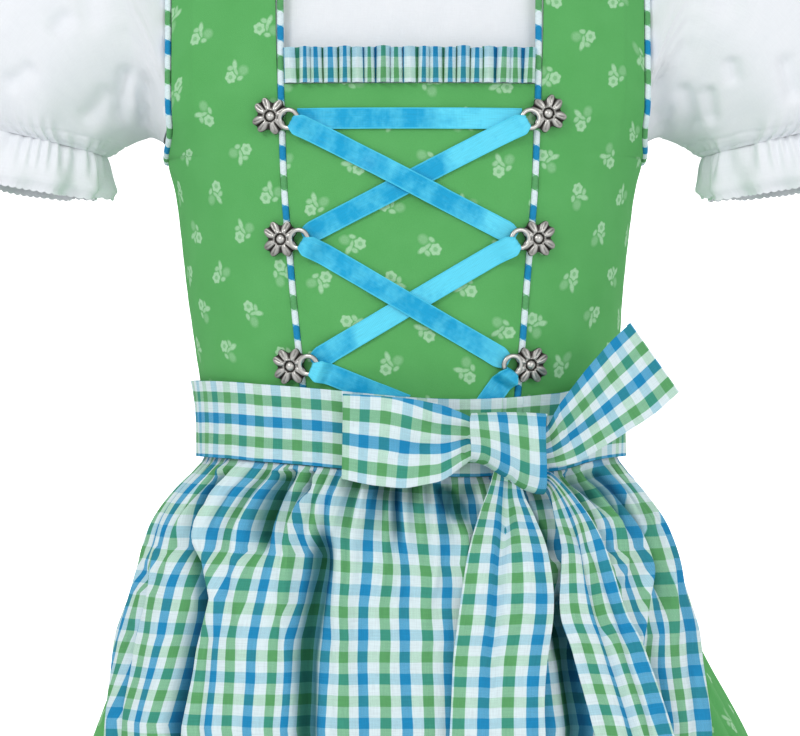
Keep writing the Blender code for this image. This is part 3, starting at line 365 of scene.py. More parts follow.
BAND_CREASES = [
    ([(-40, -283), (-16, -289), (8, -291)], -0.5, 3, 4),
    ([(-88, -290), (-84, -302)], -0.8, 3, 3),
]
LOOP_A_CREASES = [
    ([(-27, -302), (-8, -304), (7, -302.4), (26, -299.7)], -2.2, 2.2, 4.5, (0.5, 0)),
    ([(12, -313), (24, -306)], 1.6, 3.0, 3.0, (0.4, 0)),
    ([(0, -292), (18, -295), (28, -298)], -1.4, 2.5, 2.5, (0.5, 0)),
]
LOOP_B_CREASES = [
    ([(100, -262), (84, -279), (68, -295)], -2.0, 3.0, 4.5, (0.4, 0)),
    ([(92, -255), (78, -272), (66, -288)], -1.2, 2.5, 2.5, (0.5, 0)),
    ([(104, -275), (88, -290), (72, -301)], -1.5, 2.5, 2.5, (0.5, 0)),
]
KNOT_CREASES = [
    ([(33.5, -290), (32.5, -305), (34, -322)], -0.9, 1.5, 2.0, (0.1, 0.1)),
    ([(43, -290), (46, -305), (44, -322)], -0.8, 2.0, 1.6, (0.1, 0.1)),
    ([(54, -290), (53.5, -305), (55, -322)], -0.8, 1.6, 1.6, (0.1, 0.1)),
]
TAIL_FRONT_CREASES = [
    ([(43, -318), (43, -334), (40, -350), (36, -392), (30, -440)], -3.6, 2.6, 2.4, (0, 0.6)),
    ([(48, -334), (52, -360), (48, -400)], 1.2, 3, 4, (0.3, 0.4)),
]
TAIL_SIDE_CREASES = [
    ([(66, -326), (77, -348), (86, -380), (95, -420), (101, -490)], -4.2, 3.4, 2.2, (0.1, 0)),
    ([(74, -332), (84, -352), (94, -380), (104, -420), (109, -490)], -2.6, 2.2, 2.4, (0.1, 0)),
    ([(70, -350), (74, -392), (86, -450)], 1.0, 3, 4, (0.3, 0.2)),
]
BLOUSE_FRONT_CREASES = [
    ([(12, -98), (14, -110), (16, -124)], -1.1, 3, 2),
    ([(-34, -92), (-30, -108), (-31, -122)], -0.8, 3, 3),
    ([(38, -84), (33, -102)], -0.7, 3, 3),
]
BLOUSE_BACK_CREASES = [
    ([(-16, -44), (-13, -62), (-15, -76)], -0.8, 3, 3),
    ([(20, -46), (17, -66)], -0.7, 3, 3),
]
RIGHT_SLEEVE_FRONT = [
    ([(-127, -126), (-130, -142), (-132, -157)], -3.2, 4.5, 3),
    ([(-121, -130), (-121, -157)], -2.6, 3, 3),
    ([(-154, -104), (-164, -114.5)], -2.0, 4, 4),
    ([(-170, -128), (-178, -134), (-186, -139)], -2.2, 4, 4),
    ([(-134, -136), (-143, -148), (-152, -156)], -2.0, 5, 5),
    ([(-140, -60), (-146, -92), (-144, -118)], -1.6, 6, 5),
    ([(-176, -60), (-183, -92), (-186, -112)], -1.8, 6, 5),
]
LEFT_SLEEVE_FRONT = [
    ([(117, -128), (116, -158)], -3.4, 3, 4.5),
    ([(126, -134), (130, -148), (134, -162)], -3.0, 4, 4),
    ([(138, -136), (141, -156)], -2.4, 4, 3),
    ([(147, -124), (150, -138)], -1.8, 3, 4),
    ([(171, -122), (175, -135), (178, -147)], -2.4, 4, 4),
    ([(142, -58), (148, -90), (145, -114)], -1.6, 5, 6),
    ([(178, -58), (184, -88), (188, -110)], -1.8, 5, 6),
]
SLEEVE_CREASES = dict(
    right=dict(front=RIGHT_SLEEVE_FRONT, back=[
        ([(-124, -120), (-127, -138), (-126, -156)], -2.6, 4, 4),
        ([(-140, -128), (-150, -146)], -2.2, 4, 5),
        ([(-168, -70), (-173, -98), (-170, -120)], -1.8, 6, 5),
        ([(-190, -110), (-182, -132)], -2.0, 4, 4),
    ]),
    left=dict(front=LEFT_SLEEVE_FRONT, back=[
        ([(122, -122), (126, -140), (124, -157)], -2.4, 4, 4),
        ([(143, -126), (152, -148)], -2.3, 4, 5),
        ([(163, -66), (170, -96), (168, -122)], -1.7, 5, 6),
        ([(192, -108), (185, -134)], -2.1, 4, 4),
    ]),
)

# ---- dyes, prints and light ----
CHECK_REPEAT, CHECK_STRIPE = 19.2, 4.8
BLUE_AT, GREEN_AT = 7.2, 16.8  # middles of the stripes in a repeat
YARN = 0.24  # from one thread to the next
WARP_SHARE = 0.65  # how much of a lengthwise stripe shows
BLUE_DYE = [  # colours from no blue thread, by one way, to both ways
    (0.0, (0.81, 0.94, 0.97)),
    (0.35, (0.49, 0.77, 0.86)),
    (0.65, (0.085, 0.415, 0.68)),
    (1.0, (0.013, 0.28, 0.565)),
]
GREEN_DYE = [
    (0.0, (1.0, 1.0, 1.0)),
    (0.35, (0.728, 0.892, 0.72)),
    (0.65, (0.297, 0.592, 0.345)),
    (1.0, (0.152, 0.432, 0.155)),
]
BOTH_DYES = [(0.0, (1.0, 1.0, 1.0)), (0.23, (0.33, 0.73, 0.76)), (1.0, (0.33, 0.73, 0.76))]
GREEN_DARK, GREEN_LIGHT = (0.103, 0.43, 0.113), (0.140, 0.50, 0.153)
SPRIG_WIDE, SPRIG_HIGH, SPRIG_JITTER = 16.6, 36.8, 2.4
SPRIG_FLOWER = (-3.0, -2.8, 2.9)  # place and size of its round flower
SPRIG_EYE, SPRIG_EYE_STRENGTH = 1.15, 0.55
SPRIG_LEAVES = [  # place, length and width of each leaf, its turn and how strongly it is printed
    (-3.4, 1.6, 1.7, 1.2, 20, 0.8),
    (-1.2, 3.4, 2.5, 1.25, 100, 0.95),
    (-0.4, 0.6, 2.2, 0.9, 120, 0.8),
    (2.2, -2.6, 1.7, 1.1, 30, 0.85),
    (3.7, 1.3, 2.6, 2.3, 30, 0.42),
]
SPRIG_INK = (0.53, 0.83, 0.54)
FOLD_PAINTED_SHADE = (0.11, 0.30, 0.35)  # painted shade: the colour that the check cloth's colour is multiplied towards deep in a fold, for what is left of the light there
PAINTED_SHADE_BETWEEN_GATHERS = 0.55  # and how much of that painted shade shows between two gathers
WHITE_SHADE, WHITE_LIGHT = (0.87, 0.895, 0.93), (0.94, 0.955, 0.98)
# the satin's deep colour, the lighter colour of its painted sheen, and its lighter woven edge
SATIN_DEEP, SATIN_PAINTED_SHEEN, SATIN_EDGE = (0.003, 0.39, 0.70), (0.125, 0.74, 0.97), (0.08, 0.66, 0.88)
SILVER_LOW, SILVER_HIGH = 0.32, 0.72
SILVER_DARK, SILVER_BRIGHT = (0.06, 0.055, 0.05), (0.72, 0.70, 0.66)
THREAD_DARK, THREAD_LIGHT = (0.08, 0.30, 0.10), (0.16, 0.45, 0.18)
WORLD_COLOUR, WORLD_LIGHT = (0.97, 0.985, 1.0, 1.0), 0.74
BACKDROP_Y, BACKDROP_HALF = 12.0, 3.0  # metres
LAMP_AIM = (0.0, 0.0, -0.28)
LAMPS = [
    ("key", (-1.05, -1.6, 0.75), (0.5, 0.5), 9.0),
    ("fill", (1.15, -1.6, 0.2), (0.8, 0.8), 4.0),
    ("back", (0.6, 1.7, 0.8), (1.0, 1.0), 9.0),
]
FLOOR_COLOUR = (0.86, 0.87, 0.88)
FLOOR_HALF, FLOOR_NEAR, FLOOR_FAR, FLOOR_Z = 1.6, -1.5, 2.0, -0.66
CAMERA_PLACE, CAMERA_LENS = (-0.005, -2.0, -0.267), 191.5


# ---- small tools ----


def mix(a, b, share):
    return a + (b - a) * share


def smooth(x, low, high):
    share = (x - low) / (high - low)
    share = np.clip(share, 0, 1) if isinstance(share, np.ndarray) else min(1.0, max(0.0, share))
    return share * share * (3 - 2 * share)


COLUMNS = {}


def read(table, key, z):
    """The value of a column at height z: straight between rows, rounded by a three-point mean."""
    if (id(table), key) not in COLUMNS:
        rows = sorted(table, key=lambda row: row["z"])
        COLUMNS[id(table), key] = [row["z"] for row in rows], [row[key] for row in rows]
    heights, values = COLUMNS[id(table), key]
    blur = 5.0
    low, here, high = (np.interp(z + step, heights, values) for step in (-blur, 0, blur))
    return (low + 2 * here + high) / 4


def bezier(points, share):
    """A point of the Bezier curve through a list of (a, b) control points."""
    now = [Vector(p) for p in points]
    while len(now) > 1:
        now = [a.lerp(b, share) for a, b in zip(now, now[1:])]
    return now[0]


def uneven(k, size):
    """A fixed, irregular number between -size and size for the k-th of a row of folds."""
    return size * math.sin(12.9898 * k + 4.1) * math.cos(3.7 * k)


# ---- the figure's surface ----


def ring_point(t, z, out, table=TORSO, extra=0.0):
    """The point at angle t and height z, lying out outside the form that the table gives."""
    angle = math.radians(t)
    wide = read(table, "wide", z) + out
    deep = read(table, "deep", z) * (1.0 if math.cos(angle) > 0 else BACK_DEPTH) + out
    across, along = abs(math.sin(angle)) / wide, abs(math.cos(angle)) / deep
    radius = (across**SQUARENESS + along**SQUARENESS) ** (-1 / SQUARENESS) + extra
    return Vector((radius * math.sin(angle), -radius * math.cos(angle), z))


def chest_depth(x, z, out, back=False):
    """How far the torso reaches forward, or back, at distance x from the middle."""
    wide = read(TORSO, "wide", z) + out
    deep = read(TORSO, "deep", z) * (BACK_DEPTH if back else 1.0) + out
    return deep * max(0.0, 1 - (abs(x) / wide) ** SQUARENESS) ** (1 / SQUARENESS)


def shoulder_top(x, out):
    return out - max(0.0, abs(x) - NECK_HALF) * SHOULDER_FALL


def over_shoulder(x, turn, out):
    """A point of the line at distance x that runs from the front (turn 0) over the shoulder (90) to the back (180)."""
    angle = math.radians(turn)
    depth = chest_depth(x, CHEST_TOP, out, back=turn > 90)
    rise = shoulder_top(x, out) - CHEST_TOP
    return Vector((x, -depth * math.cos(angle), CHEST_TOP + rise * math.sin(angle)))


def turn_at(x, z, out):
    """The turn of over_shoulder at which the front reaches height z."""
    return math.degrees(math.asin(min(1.0, (z - CHEST_TOP) / (shoulder_top(x, out) - CHEST_TOP))))


def front_point(x, z, out):
    if z > CHEST_TOP:
        return over_shoulder(x, turn_at(x, z, out), out)
    return Vector((x, -chest_depth(x, z, out), z))


def angle_of(x, z, out, back=False):
    """The angle t of the point at distance x from the middle."""
    angle = math.degrees(math.atan2(x, chest_depth(x, z, out, back)))
    return 180 - angle if back else angle


def front_normal(x, z, out):
    step = 0.5
    across = front_point(x + step, z, out) - front_point(x - step, z, out)
    up = front_point(x, z + step, out) - front_point(x, z - step, out)
    return across.cross(up).normalized()


def dip(x):
    """How much the bow's weight lowers the band at x."""
    return BAND_DIP * math.exp(-(((x - DIP_AT_X) / DIP_REACH) ** 2)) * (1 - smooth(abs(x), 66, 95))


def leaned(points):
    """The points in the worn set's stance."""
    front = np.where(points[..., 2] > -330, smooth(-points[..., 1], 0, 75), 0.0)
    moved = points.copy()
    moved[..., 0] += read(LEAN, "x", points[..., 2]) * (1 - TURNED * front)
    return moved


# ---- cloth in the making ----


def net(surface, columns, rows):
    """The points of a face: surface(u, v) at even steps, u to the viewer's right and v up, both 0 to 1."""
    return np.array(
        [[tuple(surface(c / columns, r / rows)) for c in range(columns + 1)] for r in range(rows + 1)]
    )


def through(count, parts, ring=False):
    """Weights that lay a smooth curve through a row of points, with every space between them cut into parts."""
    weights = np.zeros(((count - 1) * parts + 1, count))
    for k in range(len(weights)):
        first = min(k // parts, count - 2)
        t = k / parts - first
        shares = (2 * t * t - t - t**3) / 2, (2 - 5 * t * t + 3 * t**3) / 2, (t + 4 * t * t - 3 * t**3) / 2
        for step, share in zip((-1, 0, 1, 2), (*shares, (t**3 - t * t) / 2)):
            at = first + step
            if ring:
                weights[k, at % (count - 1)] += share
            elif 0 <= at < count:
                weights[k, at] += share
            else:
                end, inner = (0, 1) if at < 0 else (count - 1, count - 2)
                weights[k, end] += 2 * share
                weights[k, inner] -= share
    return weights


def finer(points, across, up, ring=False):
    """The same face with every space of its net cut into smaller ones, on a smooth curve."""
    taller = np.einsum("ri,ijk->rjk", through(len(points), up), points)
    return np.einsum("cj,rjk->rck", through(points.shape[1], across, ring), taller)


def way_along(points, axis):
    """Length of the cloth from its first row or column to each point."""
    steps = np.linalg.norm(np.diff(points, axis=axis), axis=2)
    return np.concatenate((np.zeros_like(steps.take([0], axis)), np.cumsum(steps, axis)), axis)


def lay_of(across, along):
    """Where a net's points lie on the flat cloth: across it and along it."""
    return np.stack(np.broadcast_arrays(across, along), -1)


def face_out(points, ring=False):
    along = np.gradient(points, axis=1)
    if ring:
        along[:, 0] = along[:, -1] = (points[:, 1] - points[:, -2]) / 2
    out = np.cross(along, np.gradient(points, axis=0))
    return out / np.maximum(np.linalg.norm(out, axis=2, keepdims=True), 1e-9)


def off_line(place, line):
    """How far each place lies off a line, above 0 on the right of one that runs down, and its share of the way."""
    line = np.array(line, float)
    spans = np.linalg.norm(np.diff(line, axis=0), axis=1)
    best = np.full(place.shape[:-1], np.inf)
    side, along, run = np.zeros_like(best), np.zeros_like(best), 0.0
    for a, b, span in zip(line, line[1:], spans):
        way = (b - a) / span
        reach = place - a
        t = np.clip(reach @ way, 0, span)
        far = np.linalg.norm(reach - t[..., None] * way, axis=-1)
        right = np.where(way[0] * reach[..., 1] - way[1] * reach[..., 0] > 0, far, -far)
        nearer = far < best
        best, side = np.where(nearer, far, best), np.where(nearer, right, side)
        along = np.where(nearer, (run + t) / spans.sum(), along)
        run += span
    return side, along


def crease(place, line, high, left, right, fade=(0.25, 0.25)):
    """A soft ridge, or a trough where high is below 0, along a line; left and right are its flanks' widths."""
    side, along = off_line(place, line)
    shape = np.exp(-((side / np.where(side < 0, left, right)) ** 2))
    return high * shape * smooth(along, 0, fade[0] + 0.001) * smooth(1 - along, 0, fade[1] + 0.001)


def creased(points, place, rows, ring=False, only=1.0):
    """The face with a table of creases pressed into it; place is where its points lie on the table's plane."""
    high = sum(crease(place, *row) for row in rows)
    return points + face_out(points, ring) * (high * only)[..., None]


def mirrored(rows, side):
    """A table of creases for the wearer's left side (1) or, turned over, the right one (-1)."""
    return [([(side * x, z) for x, z in line], *sizes) for line, *sizes in rows]


def hem_line(up, edge, from_edge=5.0, deep=0.25):
    """The shallow line that a turned hem's seam draws from_edge away from an edge at up = edge."""
    return -deep * np.exp(-(((np.abs(up - edge) - from_edge) / 0.7) ** 2))


# ---- pieces ----

collection = bpy.context.scene.collection


def finished(name, mesh, finish, nodes=()):
    """A mesh as a piece of the set, with its finish, in place of its solids."""
    material, slot = finish
    mesh.materials.append(material)
    mesh.shade_smooth()
    mesh.set_sharp_from_angle(angle=math.radians(SHARP))
    obj = bpy.data.objects.new(name, mesh)
    collection.objects.link(obj)
    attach(obj, "root")
    if nodes:
        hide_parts(*nodes)
    return obj


def meshed(name, parts):
    """One mesh from (points, faces, corners, lay) parts; lay is where a face's corners lie on the flat cloth."""
    places, faces, flat, count = [], [], [], 0
    for points, quads, corners, lay in parts:
        places.append(points * MM)
        faces += [[i + count for i in face] for face in quads]
        flat += [lay[np.array(corner)] for corner in corners]
        count += len(points)
    mesh = bpy.data.meshes.new(name)
    mesh.from_pydata(np.concatenate(places).tolist(), [], faces)
    mesh.uv_layers.new(name="lay").data.foreach_set("uv", (np.concatenate(flat) * MM).ravel())
    return mesh


def quads_of(grid):
    return np.stack((grid[:-1, :-1], grid[:-1, 1:], grid[1:, 1:], grid[1:, :-1]), -1).reshape(-1, 4).tolist()


def walled(points, lay, thick, ring):
    """A cloth wall as a mesh part: the outer face, the inner face and the rims between them."""
    rows, columns = points.shape[0], points.shape[1]
    inner = points - face_out(points, ring) * thick
    used = columns - 1 if ring else columns
    outside = np.arange(rows * used).reshape(rows, used)
    if ring:
        outside = np.hstack((outside, outside[:, :1]))
    laid = np.arange(rows * columns).reshape(rows, columns)
    faces, corners = [], []
    for grid, kept in ((outside, faces), (laid, corners)):
        inside = grid + (rows * used if kept is faces else 0)
        kept += quads_of(grid)
        kept += [face[::-1] for face in quads_of(inside)]
        kept += quads_of(np.stack((inside[0], grid[0])))
        kept += quads_of(np.stack((grid[-1], inside[-1])))
        if not ring:
            kept += quads_of(np.stack((inside[:, 0], grid[:, 0]), 1))
            kept += quads_of(np.stack((grid[:, -1], inside[:, -1]), 1))
    both = np.concatenate((points[:, :used].reshape(-1, 3), inner[:, :used].reshape(-1, 3)))
    return both, faces, corners, lay.reshape(-1, 2)


def sew(name, points, lay, finish, nodes, held, thick=CLOTH_THICK, ring=False, folded=None):
    """A piece of cloth whose outer face goes through points; lay is where they lie on the flat cloth it is cut from.

    held is None for a strip too narrow to be a sheet; for any other piece its flat area is worked out but not used,
    and folded is how deep each point lies in a fold, 0 to 1, for a finish that paints shade there."""
    piece = finished(name, meshed(name, [walled(leaned(points), lay, thick, ring)]), finish, nodes)
    # the fold attribute, how deep each point lies in a fold, drives the check cloth's painted shade
    if folded is not None:
        kept = folded[:, :-1] if ring else folded
        tone = piece.data.color_attributes.new("fold", "FLOAT_COLOR", "POINT")
        tone.data.foreach_set("color", np.repeat(np.tile(kept.ravel(), 2), 4))
    if held is None:
        return
    wide, long = np.ptp(lay[..., 0]), np.ptp(lay[..., 1])
    one, two = lay[1:, 1:] - lay[:-1, :-1], lay[1:, :-1] - lay[:-1, 1:]
    area = np.abs(one[..., 0] * two[..., 1] - one[..., 1] * two[..., 0]).sum() / 2
    area = min(area, wide * long)
    area * MM * MM


def skin(rings, lay, closed=False):
    """A mesh part that closes rings of points round a line, flat at its ends unless the line is closed."""
    rows, columns = rings.shape[:2]
    place = np.arange(rows * (columns - 1)).reshape(rows, columns - 1)
    place = np.hstack((place, place[:, :1]))
    laid = np.arange(rows * columns).reshape(rows, columns)
    faces, corners = quads_of(place), quads_of(laid)
    if not closed:
        faces += [place[0, :-1][::-1].tolist(), place[-1, :-1].tolist()]
        corners += [laid[0, :-1][::-1].tolist(), laid[-1, :-1].tolist()]
    return rings[:, :-1].reshape(-1, 3), faces, corners, lay.reshape(-1, 2)


def rolled(line, radius, sides=10, facing=None, closed=False):
    """A covered cord or a thread as a mesh part: a round skin along a line, flat at its ends."""
    line = np.array([tuple(p) for p in line], float)
    ahead = np.gradient(line, axis=0)
    if closed:
        line, ahead = np.vstack((line, line[:1])), np.roll(line, -1, 0) - np.roll(line, 1, 0)
        ahead = np.vstack((ahead, ahead[:1]))
    ahead /= np.linalg.norm(ahead, axis=1, keepdims=True)
    sights = np.broadcast_to(np.array((0.3, 0.2, 1.0) if facing is None else facing, float), line.shape)
    side = sights[0]
    turn = np.linspace(-math.pi, math.pi, sides + 1)[:, None]
    rings = []
    for place, way, sight in zip(line, ahead, sights):
        side = (side if facing is None else sight) - way * (side if facing is None else sight).dot(way)
        side = side / np.linalg.norm(side)
        rings.append(place + radius * (np.cos(turn) * side + np.sin(turn) * np.cross(way, side)))
    way = np.concatenate(([0], np.cumsum(np.linalg.norm(np.diff(line, axis=0), axis=1))))
    around = np.linspace(-math.pi * radius, math.pi * radius, sides + 1)
    return skin(np.array(rings), lay_of(around[None, :], way[:, None]), closed)


# ---- finishes ----


class Value:
    """What one socket of a finish's nodes gives, so that sums of such values can be written down plainly."""

    def __init__(self, finish, socket):
        self.finish, self.socket = finish, socket

    def sum(self, operation, *inputs, clamped=False):
        settings = dict(operation=operation, use_clamp=clamped)
        return self.finish.node("Math", settings, dict(enumerate(inputs)))

    def __add__(self, other):
        return self.sum("ADD", self, other)

    def __sub__(self, other):
        return self.sum("SUBTRACT", self, other)

    def __rsub__(self, other):
        return self.sum("SUBTRACT", other, self)

    def __mul__(self, other):
        return self.sum("MULTIPLY", self, other)

    def __truediv__(self, other):
        return self.sum("DIVIDE", self, other)

    def __mod__(self, other):
        return self.sum("FLOORED_MODULO", self, other)

    def __pow__(self, other):
        return self.sum("POWER", self, other)

    def __abs__(self):
        return self.sum("ABSOLUTE", self)

    __radd__, __rmul__ = __add__, __mul__

    def clamped(self):
        return self.sum("ADD", self, 0.0, clamped=True)

    def wave(self):
        return self.sum("SINE", self)

    def whole(self):
        return self.sum("FLOOR", self)

    def most(self, other):
        return self.sum("MAXIMUM", self, other)


class Finish:
    """A finish of the set: the surface it shows, and the nodes that vary it."""

    def __init__(self, name, **fixed):
        self.material = bpy.data.materials.new(name)
        self.material.use_nodes = True
        self.tree = self.material.node_tree
        self.surface = self.tree.nodes["Principled BSDF"]
        for socket, value in fixed.items():
            self.surface.inputs[socket.replace("_", " ")].default_value = value

    def node(self, kind, settings=None, inputs=None, output=0):
        """Any node: its type, its settings, which are set first, and the values or links of its sockets."""
        made = self.tree.nodes.new(f"ShaderNode{kind}")
        for key, value in (settings or {}).items():
            if key == "stops":
                stops = made.color_ramp.elements
                while len(stops) < len(value):
                    stops.new(1.0)
                for stop, (place, colour) in zip(stops, value):
                    stop.position, stop.color = place, (*colour, 1)
            else:
                setattr(made, key, value)
        for key, value in (inputs or {}).items():
            socket = made.inputs[key]
            if isinstance(value, Value):
                self.tree.links.new(value.socket, socket)
            else:
                socket.default_value = value
        return Value(self, made.outputs[output])

    def split(self, place):
        """A vector's three parts."""
        first = self.node("SeparateXYZ", None, {0: place})
        return [Value(self, socket) for socket in first.socket.node.outputs]

    def lay(self):
        """Place on the flat cloth, across and along, in millimetres."""
        across, along, _ = self.split(self.node("UVMap", dict(uv_map="lay")))
        return across / MM, along / MM

    def point(self, x, y, z=0.0):
        return self.node("CombineXYZ", None, {0: x, 1: y, 2: z})

    def noise(self, place, scale, detail=2.0):
        return self.node("TexNoise", None, {"Vector": place, "Scale": scale, "Detail": detail})

    def blend(self, factor, a, b, kind="MIX"):
        """Two colours mixed."""
        a, b = ((*c, 1) if isinstance(c, tuple) else c for c in (a, b))
        return self.node("Mix", dict(data_type="RGBA", blend_type=kind), {0: factor, 6: a, 7: b}, 2)

    def ramp(self, place, stops):
        """A colour read off a scale of stops."""
        return self.node("ValToRGB", dict(stops=stops), {0: place})

    def toned(self, colour, shade):
        """A colour made lighter or darker by a number near 1."""
        return self.node("VectorMath", dict(operation="SCALE"), {0: colour, "Scale": shade})

    def wear(self, colour, roughness, high, deep):
        """Puts colour, roughness and relief on the surface; deep is the relief's full depth in millimetres."""
        relief = self.node("Bump", None, {"Strength": 1.0, "Distance": deep * MM, "Height": high})
        for socket, value in (("Base Color", colour), ("Roughness", roughness), ("Normal", relief)):
            if isinstance(value, Value):
                self.tree.links.new(value.socket, self.surface.inputs[socket])
            else:
                self.surface.inputs[socket].default_value = value
        return self.material


def stripe(place, centre, soft=0.25):
    """1 on the stripe of the check round centre, 0 off it."""
    off = abs((place - centre + CHECK_REPEAT / 2) % CHECK_REPEAT - CHECK_REPEAT / 2)
    return ((CHECK_STRIPE / 2 - off) / soft + 0.5).clamped()


def crossing(across, along):
    """Plain weave: 1 where the lengthwise thread is on top, 0 where the crosswise one is."""
    turn = math.pi / YARN
    return (across * turn).wave() * (along * turn).wave() * 0.5 + 0.5


def yarns(made, across, along, fine, coarse):
    """How thick the yarns are that cross at a place, both ways together: round 1."""
    one = made.noise(made.point(across * fine, along * coarse), 1.0)
    return one + made.noise(made.point(across * coarse, along * fine), 1.0)


def check(name, turned):
    """Yarn-dyed check: blue and green stripes on white both ways; the lengthwise ones, across the lay, show more. Deep
    in folds its colour is darkened by painted shade.
    """
    made = Finish(name, Specular_IOR_Level=0.25)
    across, along = made.lay()
    if turned:
        across, along = (along + across * 0.45) * math.sqrt(0.5), (along - across * 0.45) * math.sqrt(0.5)
    drift = made.noise(made.point(across * 0.03, along * 0.03), 2.0) - 0.5
    across, along = across + drift * 0.7, along - drift * 0.7
    over = crossing(across, along) * 0.3 + (WARP_SHARE - 0.15)
    blue = stripe(across, BLUE_AT) * over + stripe(along, BLUE_AT) * (1 - over)
    green = stripe(across, GREEN_AT) * over + stripe(along, GREEN_AT) * (1 - over)
    colour = made.blend(1.0, made.ramp(blue, BLUE_DYE), made.ramp(green, GREEN_DYE), "MULTIPLY")
    colour = made.blend(1.0, colour, made.ramp(blue * green, BOTH_DYES), "MULTIPLY")
    yarn = yarns(made, across, along, 2.2, 0.12)
    colour = made.toned(colour, (yarn - 1.0) * 0.28 + 1.0)
    # painted shade: where a piece's fold attribute is high, deep in a fold, the colour is multiplied towards the
    # painted fold shade colour
    deep = made.node("Attribute", dict(attribute_name="fold"), None, 2)
    colour = made.blend(1.0, colour, made.blend(deep, (1.0, 1.0, 1.0), FOLD_PAINTED_SHADE), "MULTIPLY")
    return made.wear(colour, 0.86, crossing(across, along) + yarn * 0.7, 0.10)


def leaf(made, place, x, y, long, wide, turn, soft=1.5):
    """1 inside a leaf of a sprig; place is measured from the sprig's middle."""
    settings = dict(vector_type="TEXTURE")
    inputs = {"Vector": place, "Location": (x, y, 0), "Rotation": (0, 0, math.radians(turn)), "Scale": (long, wide, 1)}
    off = made.node("VectorMath", dict(operation="LENGTH"), {0: made.node("Mapping", settings, inputs)}, 1)
    return ((1 - off) * soft + 0.5).clamped()


def round_flower(made, place, x, y, size):
    """1 on the petals of a small round flower, less on its eye."""
    dx, dy, _ = made.split(place)
    dx, dy = dx - x, dy - y
    far = (dx * dx + dy * dy) ** 0.5
    petals = (dy.sum("ARCTAN2", dy, dx) * 6).wave() * 0.25 + size
    eye = ((SPRIG_EYE - far) * 1.6 + 0.5).clamped()
    return ((petals - far) * 1.5 + 0.5).clamped() * (1 - eye * SPRIG_EYE_STRENGTH)


def flowered(name):
    """Green cotton printed with small light sprigs in a half-drop repeat, each turned and placed its own way."""
    made = Finish(name, Specular_IOR_Level=0.22)
    across, along = made.lay()
    column = (across / SPRIG_WIDE).whole()
    dropped = along + (column % 2) * (SPRIG_HIGH / 2)
    row = (dropped / SPRIG_HIGH).whole()
    chance = made.node("TexWhiteNoise", dict(noise_dimensions="2D"), {"Vector": made.point(column, row)}, 1)
    one, two, three = made.split(chance)
    x = across - (column + 0.5) * SPRIG_WIDE - (one - 0.5) * SPRIG_JITTER
    y = dropped - (row + 0.5) * SPRIG_HIGH - (two - 0.5) * SPRIG_JITTER
    wander = made.noise(made.point(across * 0.35, along * 0.35), 1.0) - 0.5
    turn = made.node("VectorRotate", dict(rotation_type="Z_AXIS"), {
        "Vector": made.point(x * 1.1 + wander * 0.8, y * 1.1 - wander * 0.8), "Angle": three * (2 * math.pi),
    })
    ink = round_flower(made, turn, *SPRIG_FLOWER)
    for x, y, long, wide, tilt, strength in SPRIG_LEAVES:
        ink = ink.most(leaf(made, turn, x, y, long, wide, tilt) * strength)
    grain = made.noise(made.point(across * 1.7, along * 1.7), 1.0, 3.0)
    patchy = made.noise(made.point(across * 0.05, along * 0.05), 1.0, 3.0)
    ink = (ink * (0.55 + grain * 0.5)).clamped()
    ground = made.blend(patchy, GREEN_DARK, GREEN_LIGHT)
    colour = made.blend(ink * 0.92, ground, SPRIG_INK)
    colour = made.toned(colour, (grain - 0.5) * 0.16 + 1.0)
    return made.wear(colour, 0.84, crossing(across, along) + grain * 0.8, 0.08)


def white_cotton(name):
    made = Finish(name, Specular_IOR_Level=0.2)
    across, along = made.lay()
    soft = made.noise(made.point(across * 0.06, along * 0.06), 1.0, 4.0)
    yarn = yarns(made, across, along, 2.0, 0.15)
    colour = made.toned(made.blend(soft, WHITE_SHADE, WHITE_LIGHT), (yarn - 1.0) * 0.06 + 1.0)
    return made.wear(colour, 0.85, crossing(across, along) * 0.6 + yarn + soft * 1.5, 0.08)


def satin(name):
    """Woven satin ribbon: fine ribs across, a denser edge on both sides, and painted sheen: light streaks along its
    floats and lighter patches in its colour.
    """
    made = Finish(name, Specular_IOR_Level=0.3, Anisotropic=0.35)
    along, across = made.lay()
    sheen_streak = made.noise(made.point(along * 0.13, across * 2.6), 1.0, 3.0)
    sheen_patch = made.noise(made.point(along * 0.10, across * 0.07), 1.0, 2.0)
    sheen_mottle = made.noise(made.point(along * 0.5, across * 0.45), 1.0, 2.0)
    # painted sheen: the colour is lighter over the first and the last stretches of each LACE_SPACE along the lay
    place = along % LACE_SPACE
    near = ((28 - place) / 22).clamped().most(((place - 106) / 22).clamped())
    rib = (along * (math.pi / 0.36)).wave() * 0.5 + 0.5
    edge = abs(across - LACE_WIDE / 2)
    selvedge = ((edge - (LACE_WIDE / 2 - 0.75)) * 4).clamped()
    # painted reflection: patches, mottles and those stretches blend the deep colour towards the lighter painted sheen
    colour = made.blend((sheen_patch * 2.0 + sheen_mottle * 0.6 + near - 1.12).clamped(), SATIN_DEEP, SATIN_PAINTED_SHEEN)
    colour = made.blend(selvedge * 0.6, colour, SATIN_EDGE)
    # painted sheen: light streaks along the floats lighten the colour; the ribs' small toning is the weave's own
    colour = made.toned(colour, (sheen_streak - 0.5) * 0.4 + rib * 0.06 + 0.97)
    return made.wear(colour, sheen_streak * 0.2 + 0.3, rib * 0.5 + sheen_streak + selvedge, 0.06)


